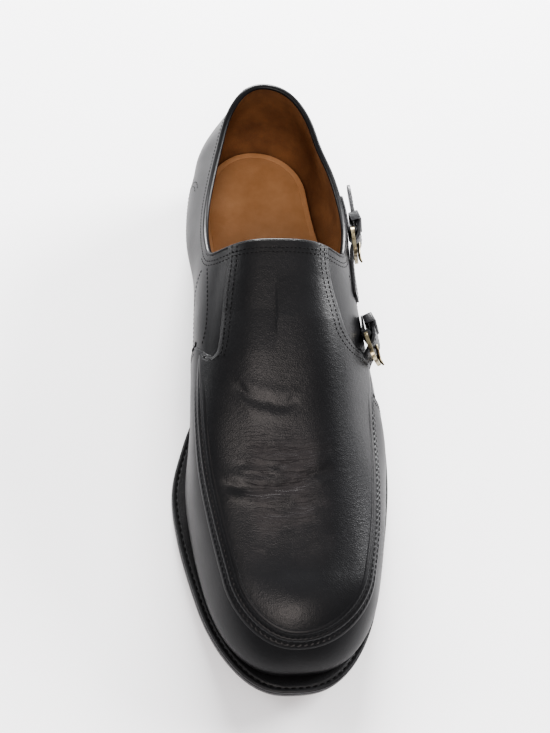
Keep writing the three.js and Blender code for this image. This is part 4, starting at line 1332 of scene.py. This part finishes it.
def buckle_piece(name, matrix):
    """The buckle's frame, its corners rounded outside and inside and its arrises eased."""
    bar, thick = BUCKLE["bar"], BUCKLE["thick"]
    half = Vector((BUCKLE["length"] / 2, BUCKLE["width"] / 2))
    piece = opened_block(name, (BUCKLE["length"], BUCKLE["width"], thick), 2, bar)

    def corner(edge, outside):
        first, second = (v.co for v in edge.verts)
        if abs(first.z - second.z) <= thick / 2:
            return False
        if outside:
            return abs(first.x) > half.x - 0.01 and abs(first.y) > half.y - 0.01
        return abs(first.x) < half.x - bar + 0.01 and abs(first.y) < half.y - bar + 0.01

    pick(piece, "EDGE", lambda edge: corner(edge, True))
    bpy.ops.mesh.bevel(offset=BUCKLE["corner"], segments=8, affect="EDGES")
    pick(piece, "EDGE", lambda edge: corner(edge, False))
    bpy.ops.mesh.bevel(offset=BUCKLE["inner_corner"], segments=6, affect="EDGES")
    turn_outward()
    eased(piece, 0.8, 5)
    return placed(piece, matrix)


def swept_rod(path, radii, flat=0.75, sides=10, steps=28):
    """A rod through points in millimetres, with its ends closed: corners and faces."""
    share = np.linspace(0, 1, steps)
    points = catmull(np.array(path, float)[None], share)[0]
    width = np.interp(share, np.linspace(0, 1, len(radii)), radii)
    across = np.array((0.0, 1.0, 0.0))
    up = np.cross(unit(np.gradient(points, axis=0)), across)
    turn = np.linspace(0, 2 * math.pi, sides + 1)[:-1]
    rings = [
        points[k] + width[k] * (np.outer(np.cos(turn), across) + flat * np.outer(np.sin(turn), up[k]))
        for k in range(steps)
    ]
    corners, faces = ring_walls(rings)
    faces += [list(range(sides))[::-1], list(range(len(corners) - sides, len(corners)))]
    return corners, faces


def prong_piece(name, matrix):
    """The prong: a hub round the rear bar and a pin that lies on the front bar and rises at its tip."""
    bar = REAR_BAR
    lift = BUCKLE["thick"] / 2 + GAP + 0.5
    path = [
        (bar, 0, 1.95), (bar - 3, 0, 2.3), (0, 0, lift + 0.6), (-bar, 0, lift + 0.1),
        (-bar - 1.6, 0, lift + 0.3), (-bar - 3.4, 0, lift + 0.9),
    ]
    pin = mesh_object(name, *swept_rod(path, [0.95, 1.1, 1.05, 1.0, 0.95, 0.6]))
    pin.data.transform(Matrix.Scale(1 / MM, 4))
    hub = primitive("torus", f"{name}_hub", major_segments=24, minor_segments=10, major_radius=2.0,
                    minor_radius=0.6, rotation=(math.pi / 2, 0, 0), location=(bar, 0, 0))
    hub.data.transform(Matrix.Diagonal((1, 1.5, 1, 1)))
    only(pin, hub)
    bpy.ops.object.join()
    bpy.ops.object.shade_smooth()
    return placed(pin, matrix)


def keeper_piece(name, fastening, frame_at):
    """The loop round the tail, its outer corners rounded."""
    middle, along, up, out = frame_at
    room, wall, wide = LOOP["room"], LOOP["thick"], LOOP["wide"]
    row = [r for r in fastening["strap"] if r[0] == fastening["rear"][0] - LOOP["behind"]][0]
    floor = fastening["seat"] + TAB_THICK + LOOP["play"] - row[2]
    high = STRAP_THICK + room + wall
    size = (wide, STRAP_WIDTH + 2 * (room + wall), high - floor)
    piece = opened_block(name, size, 0, wall, (0, 0, (high + floor) / 2))

    def outer(edge):
        a, b = (v.co for v in edge.verts)
        at_corner = min(abs(a.y), abs(b.y)) > size[1] / 2 - 0.01 and min(a.z, b.z) > high - 0.01
        return at_corner and abs(a.x - b.x) > wide / 2

    pick(piece, "EDGE", outer)
    bpy.ops.mesh.bevel(offset=LOOP["corner"], segments=5, affect="EDGES")
    turn_outward()
    eased(piece, 0.3, 3)
    return placed(piece, axes_matrix(along, up, out, middle))


def make_fastening(name, sizes):
    """A strap with its stitches, and the tab, keeper, buckle and prong that hold it."""
    fastening = FASTENINGS[name]
    rear, low = fastening["rear"], fastening["seat"]
    matrix = buckle_axes(fastening)
    frames = strap_frames(fastening["strap"], FRAMES)
    table = catmull(np.array(fastening["strap"], float)[None], np.linspace(0, 1, FRAMES))[0]
    sewn = np.clip((table[:, 0] - fastening["sewn"]) / 6 + 1, 0, 1)
    tree = grid_tree(side_skin(np.arange(40, 190), 1, np.linspace(0.02, 0.7, 90)))

    def lie(i, place):
        return cupped(tree, place, table[i, 2], sewn[i]) if sewn[i] > 0 else place

    thick = sizes.strap / MM
    strap = strip_piece(f"{name}_strap_leather", frames, thick, TAIL_TIP, STRAP_BASE, lie)
    seat(strap, [MATERIALS["strap"]], [f"{name}_strap"])
    out = np.array([f[3] for f in frames[2:-6]])
    for side, where in ((-1, "low"), (1, "high")):
        row = [
            lie(i, frames[i][0] + frames[i][2] * side * STITCH_ROW) + frames[i][3] * (thick + 0.02)
            for i in range(2, FRAMES - 6)
        ]
        sew(f"{name}_strap_stitches_{where}", np.array(row), out, sizes.stitch_pitch / MM, THREAD["strap"])
    rise = rear[2] - EYE - TAB_THICK - low
    rows = [
        (rear[0] - fastening["tab"] * (1 - s), rear[1], low + rise * max(0, 2 * s - 1))
        for s in (1, 0.5, 0.25, 0)
    ]
    tab = strip_piece(f"{name}_tab_leather", strap_frames(rows, 30), TAB_THICK, TAB_TIP)
    eye = primitive("cylinder", f"{name}_eye", radius=EYE + TAB_THICK, depth=STRAP_WIDTH, vertices=32,
                    rotation=(math.pi / 2, 0, 0), location=(REAR_BAR, 0, 0))
    eased(eye, 0.3, 2)
    placed(eye, matrix)
    only(tab, eye)
    bpy.ops.object.join()
    seat(tab, [MATERIALS["strap"]], [f"{name}_tab"])
    row = [r[0] for r in fastening["strap"]].index(rear[0] - LOOP["behind"])
    share = row / (len(fastening["strap"]) - 1)
    keeper = keeper_piece(f"{name}_keeper_loop", fastening, frames[round(share * (FRAMES - 1))])
    seat(keeper, [MATERIALS["strap"]], [f"{name}_keeper"])
    seat(buckle_piece(f"{name}_buckle_frame", matrix), [MATERIALS["bronze"]], [f"{name}_buckle"])
    seat(prong_piece(f"{name}_prong_pin", matrix), [MATERIALS["bronze"]], [f"{name}_prong"])


# The studio: name, place, target, size, watts and tint of each softbox
MIDDLE = (0.0, -0.12, 0.03)
SOFTBOXES = (
    ("left_softbox", (-1.5, 0.6, 0.8), MIDDLE, 0.9, 14, "#ffffff"),
    ("right_softbox", (1.5, 0.6, 0.8), MIDDLE, 0.9, 40, "#ffffff"),
    ("rear_softbox", (0.0, 1.7, 0.9), MIDDLE, 1.0, 90, "#ffffff"),
    ("front_softbox", (-0.1, -0.95, 1.25), (0.0, -0.17, 0.03), 0.7, 9, "#fff4ee"),
)
# The photograph's viewpoint, above and in front of the toe, turned to the one shoe. Pitch is how steeply the
# photograph looks down, in degrees, and the picture's upright follows it.
CAMERA = {"place": (-0.0534, -0.329, 0.480), "pitch": 63.7, "aim": (0.0055, -0.105, 0.03), "lens": 48.0}


def make_stage():
    bpy.ops.object.select_all(action="DESELECT")
    bpy.ops.mesh.primitive_plane_add(size=6, location=(0, -0.12, 0))
    floor = bpy.context.object
    floor.name = "floor"
    floor.data.materials.append(MATERIALS["floor"])
    # a photographer's curve: pale floor, black leather, little between
    bpy.context.scene.view_settings.look = "AgX - High Contrast"
    world = bpy.data.worlds.new("room")
    bpy.context.scene.world = world
    world.use_nodes = True
    world.node_tree.nodes["Background"].inputs[0].default_value = (0.95, 0.96, 1.0, 1)
    world.node_tree.nodes["Background"].inputs[1].default_value = 0.45
    for name, place, target, width, power, tint in SOFTBOXES:
        lamp = bpy.data.lights.new(name, "AREA")
        lamp.shape = "DISK"
        lamp.size = width
        lamp.energy = power
        lamp.color = linear(tint)[:3]
        holder = bpy.data.objects.new(name, lamp)
        holder.location = place
        holder.rotation_euler = (Vector(target) - Vector(place)).to_track_quat("-Z", "Y").to_euler()
        bpy.context.collection.objects.link(holder)
    camera = bpy.data.cameras.new("camera")
    camera.lens = CAMERA["lens"]
    camera.clip_start = 0.01
    holder = bpy.data.objects.new("camera", camera)
    place = Vector(CAMERA["place"])
    back = (place - Vector(CAMERA["aim"])).normalized()
    pitch = math.radians(CAMERA["pitch"])
    right = Vector((0, math.sin(pitch), math.cos(pitch))).cross(back).normalized()
    holder.matrix_world = axes_matrix(right, back.cross(right), back, place)
    bpy.context.collection.objects.link(holder)
    bpy.context.scene.camera = holder


def colour(name, description, code):
    """A colour property whose default is an sRGB hex value."""
    return FloatVectorProperty(name=name, description=description, default=linear(code), subtype="COLOR",
                               size=4, min=0, max=1)


def size(name, description, millimetres):
    """A length property."""
    return FloatProperty(name=name, description=description, default=millimetres * MM, min=0, unit="LENGTH",
                         precision=4)


class ShoeColours(bpy.types.PropertyGroup):
    """Colours of the shoe."""

    calf_dark: colour("Calf, dark", "Deepest tone of the black calf", "#0d0d0f")
    calf_light: colour("Calf, light", "Lightest tone of the black calf", "#19191b")
    # painted sheen: the brown tint of the creases, standing in for the warm highlight over the vamp
    calf_crease_sheen: colour("Calf, creased", "Tone of the calf where it creases", "#352f2f")
    lining_dark: colour("Lining, dark", "Lining where feet have rubbed it", "#70503a")
    lining: colour("Lining", "Lining where it is clean", "#9c7554")
    sock_dark: colour("Sock, dark", "Sock where feet have rubbed it", "#bb9068")
    sock: colour("Sock", "Sock where it is clean", "#cfa680")
    thread: colour("Thread", "Sewing thread", "#0c0c0d")
    edge_dark: colour("Edge, dark", "Inked sole edge", "#18181a")
    edge_light: colour("Edge, light", "Burnished sole edge", "#343436")
    bronze: colour("Bronze", "Rubbed faces of the buckles", "#a69d84")
    bronze_dark: colour("Bronze, dark", "Patina of the buckles", "#3f352a")
    floor: colour("Floor", "The board it stands on", "#ececed")


class ShoeSizes(bpy.types.PropertyGroup):
    """Sizes of the shoe's leather and sewing."""

    wall: size("Wall", "Leather and lining of the upper together", WALL)
    apron: size("Apron", "How far the apron stands on the vamp", APRON)
    vamp: size("Vamp", "How far the vamp's sides stand on the quarters", VAMP)
    strap: size("Strap", "Thickness of both straps", STRAP_THICK)
    stitch_pitch: size("Stitches", "Length of one stitch of the upper", 2.25)
    welt_pitch: size("Welt stitches", "Length of one stitch of the welt", 3.4)
    seam_pitch: size("Apron stitches", "Length of one stitch of the apron's seam", 2.6)
    creasing: FloatProperty(name="Creasing", description="Depth of the creases, as a share of the real ones",
                            default=1.0, min=0, subtype="FACTOR")


class ShoeOperator(bpy.types.Operator):
    """Base of the operators that make the shoe's pieces."""

    bl_options = {"REGISTER", "UNDO"}


class SHOE_OT_materials(ShoeOperator):
    """Make the leathers, thread, rubber and metal"""

    bl_idname = "shoe.materials"
    bl_label = "Materials"

    def execute(self, context):
        make_materials(context.scene.shoe_colours)
        return {"FINISHED"}


class SHOE_OT_stage(ShoeOperator):
    """Set out the floor, the lights and the camera"""

    bl_idname = "shoe.stage"
    bl_label = "Stage"

    def execute(self, context):
        make_stage()
        return {"FINISHED"}


class SHOE_OT_outsole(ShoeOperator):
    """Model the leather outsole"""

    bl_idname = "shoe.outsole"
    bl_label = "Outsole"

    def execute(self, context):
        make_outsole()
        return {"FINISHED"}


class SHOE_OT_welt(ShoeOperator):
    """Model the welt and its row of stitches"""

    bl_idname = "shoe.welt"
    bl_label = "Welt"

    def execute(self, context):
        make_welt(context.scene.shoe_sizes)
        return {"FINISHED"}


class SHOE_OT_heel(ShoeOperator):
    """Model the heel's lifts and its rubber"""

    bl_idname = "shoe.heel"
    bl_label = "Heel"

    def execute(self, context):
        make_heel()
        return {"FINISHED"}


class SHOE_OT_sock(ShoeOperator):
    """Model the insole with its sock"""

    bl_idname = "shoe.sock"
    bl_label = "Insole"

    def execute(self, context):
        make_sock()
        return {"FINISHED"}


class SHOE_OT_upper(ShoeOperator):
    """Model the hollow upper with its lining"""

    bl_idname = "shoe.upper"
    bl_label = "Upper"

    def execute(self, context):
        make_shell(context.scene.shoe_sizes)
        return {"FINISHED"}


class SHOE_OT_vamp(ShoeOperator):
    """Model the sides of the vamp, lapped over the quarters"""

    bl_idname = "shoe.vamp"
    bl_label = "Vamp"

    def execute(self, context):
        make_vamp_sides(context.scene.shoe_sizes)
        return {"FINISHED"}


class SHOE_OT_binding(ShoeOperator):
    """Model the binding of the collar and the strip at the heel"""

    bl_idname = "shoe.binding"
    bl_label = "Binding"

    def execute(self, context):
        make_binding()
        make_back_strap()
        return {"FINISHED"}


class SHOE_OT_apron(ShoeOperator):
    """Model the creased apron with its flap"""

    bl_idname = "shoe.apron"
    bl_label = "Apron"

    def execute(self, context):
        make_apron(context.scene.shoe_sizes)
        return {"FINISHED"}


class SHOE_OT_seam(ShoeOperator):
    """Model the rolled seam round the apron"""

    bl_idname = "shoe.seam"
    bl_label = "Apron seam"

    def execute(self, context):
        make_apron_seam(context.scene.shoe_sizes)
        return {"FINISHED"}


class SHOE_OT_stitches(ShoeOperator):
    """Sew every row through the upper"""

    bl_idname = "shoe.stitches"
    bl_label = "Stitches"

    def execute(self, context):
        make_stitches(context.scene.shoe_sizes)
        make_bar_tacks()
        return {"FINISHED"}


class SHOE_OT_fastenings(ShoeOperator):
    """Model both straps with their tabs, keepers, buckles and prongs"""

    bl_idname = "shoe.fastenings"
    bl_label = "Straps and buckles"

    def execute(self, context):
        for name in FASTENINGS:
            make_fastening(name, context.scene.shoe_sizes)
        return {"FINISHED"}


class SHOE_PT_panel(bpy.types.Panel):
    """Lists the steps in order."""

    bl_label = "Shoe"
    bl_idname = "SHOE_PT_panel"
    bl_space_type = "VIEW_3D"
    bl_region_type = "UI"
    bl_category = "Shoe"

    def draw(self, context):
        for step in STEPS:
            self.layout.operator(step.bl_idname)
        scene = context.scene
        for group, owner in ((ShoeSizes, scene.shoe_sizes), (ShoeColours, scene.shoe_colours)):
            for key in group.__annotations__:
                self.layout.prop(owner, key)


STEPS = (
    SHOE_OT_materials, SHOE_OT_stage, SHOE_OT_outsole, SHOE_OT_welt, SHOE_OT_heel, SHOE_OT_sock,
    SHOE_OT_upper, SHOE_OT_vamp, SHOE_OT_binding, SHOE_OT_apron, SHOE_OT_seam, SHOE_OT_stitches,
    SHOE_OT_fastenings,
)


def register():
    for cls in (ShoeColours, ShoeSizes, *STEPS, SHOE_PT_panel):
        bpy.utils.register_class(cls)
    bpy.types.Scene.shoe_colours = PointerProperty(type=ShoeColours)
    bpy.types.Scene.shoe_sizes = PointerProperty(type=ShoeSizes)


def unregister():
    del bpy.types.Scene.shoe_sizes
    del bpy.types.Scene.shoe_colours
    for cls in reversed((ShoeColours, ShoeSizes, *STEPS, SHOE_PT_panel)):
        bpy.utils.unregister_class(cls)


def main():
    register()
    bpy.ops.shoe.materials()
    bpy.ops.shoe.stage()
    bpy.ops.shoe.outsole()
    bpy.ops.shoe.welt()
    bpy.ops.shoe.heel()
    bpy.ops.shoe.sock()
    bpy.ops.shoe.upper()
    bpy.ops.shoe.vamp()
    bpy.ops.shoe.binding()
    bpy.ops.shoe.apron()
    bpy.ops.shoe.seam()
    bpy.ops.shoe.stitches()
    bpy.ops.shoe.fastenings()


if __name__ == "__main__":
    main()
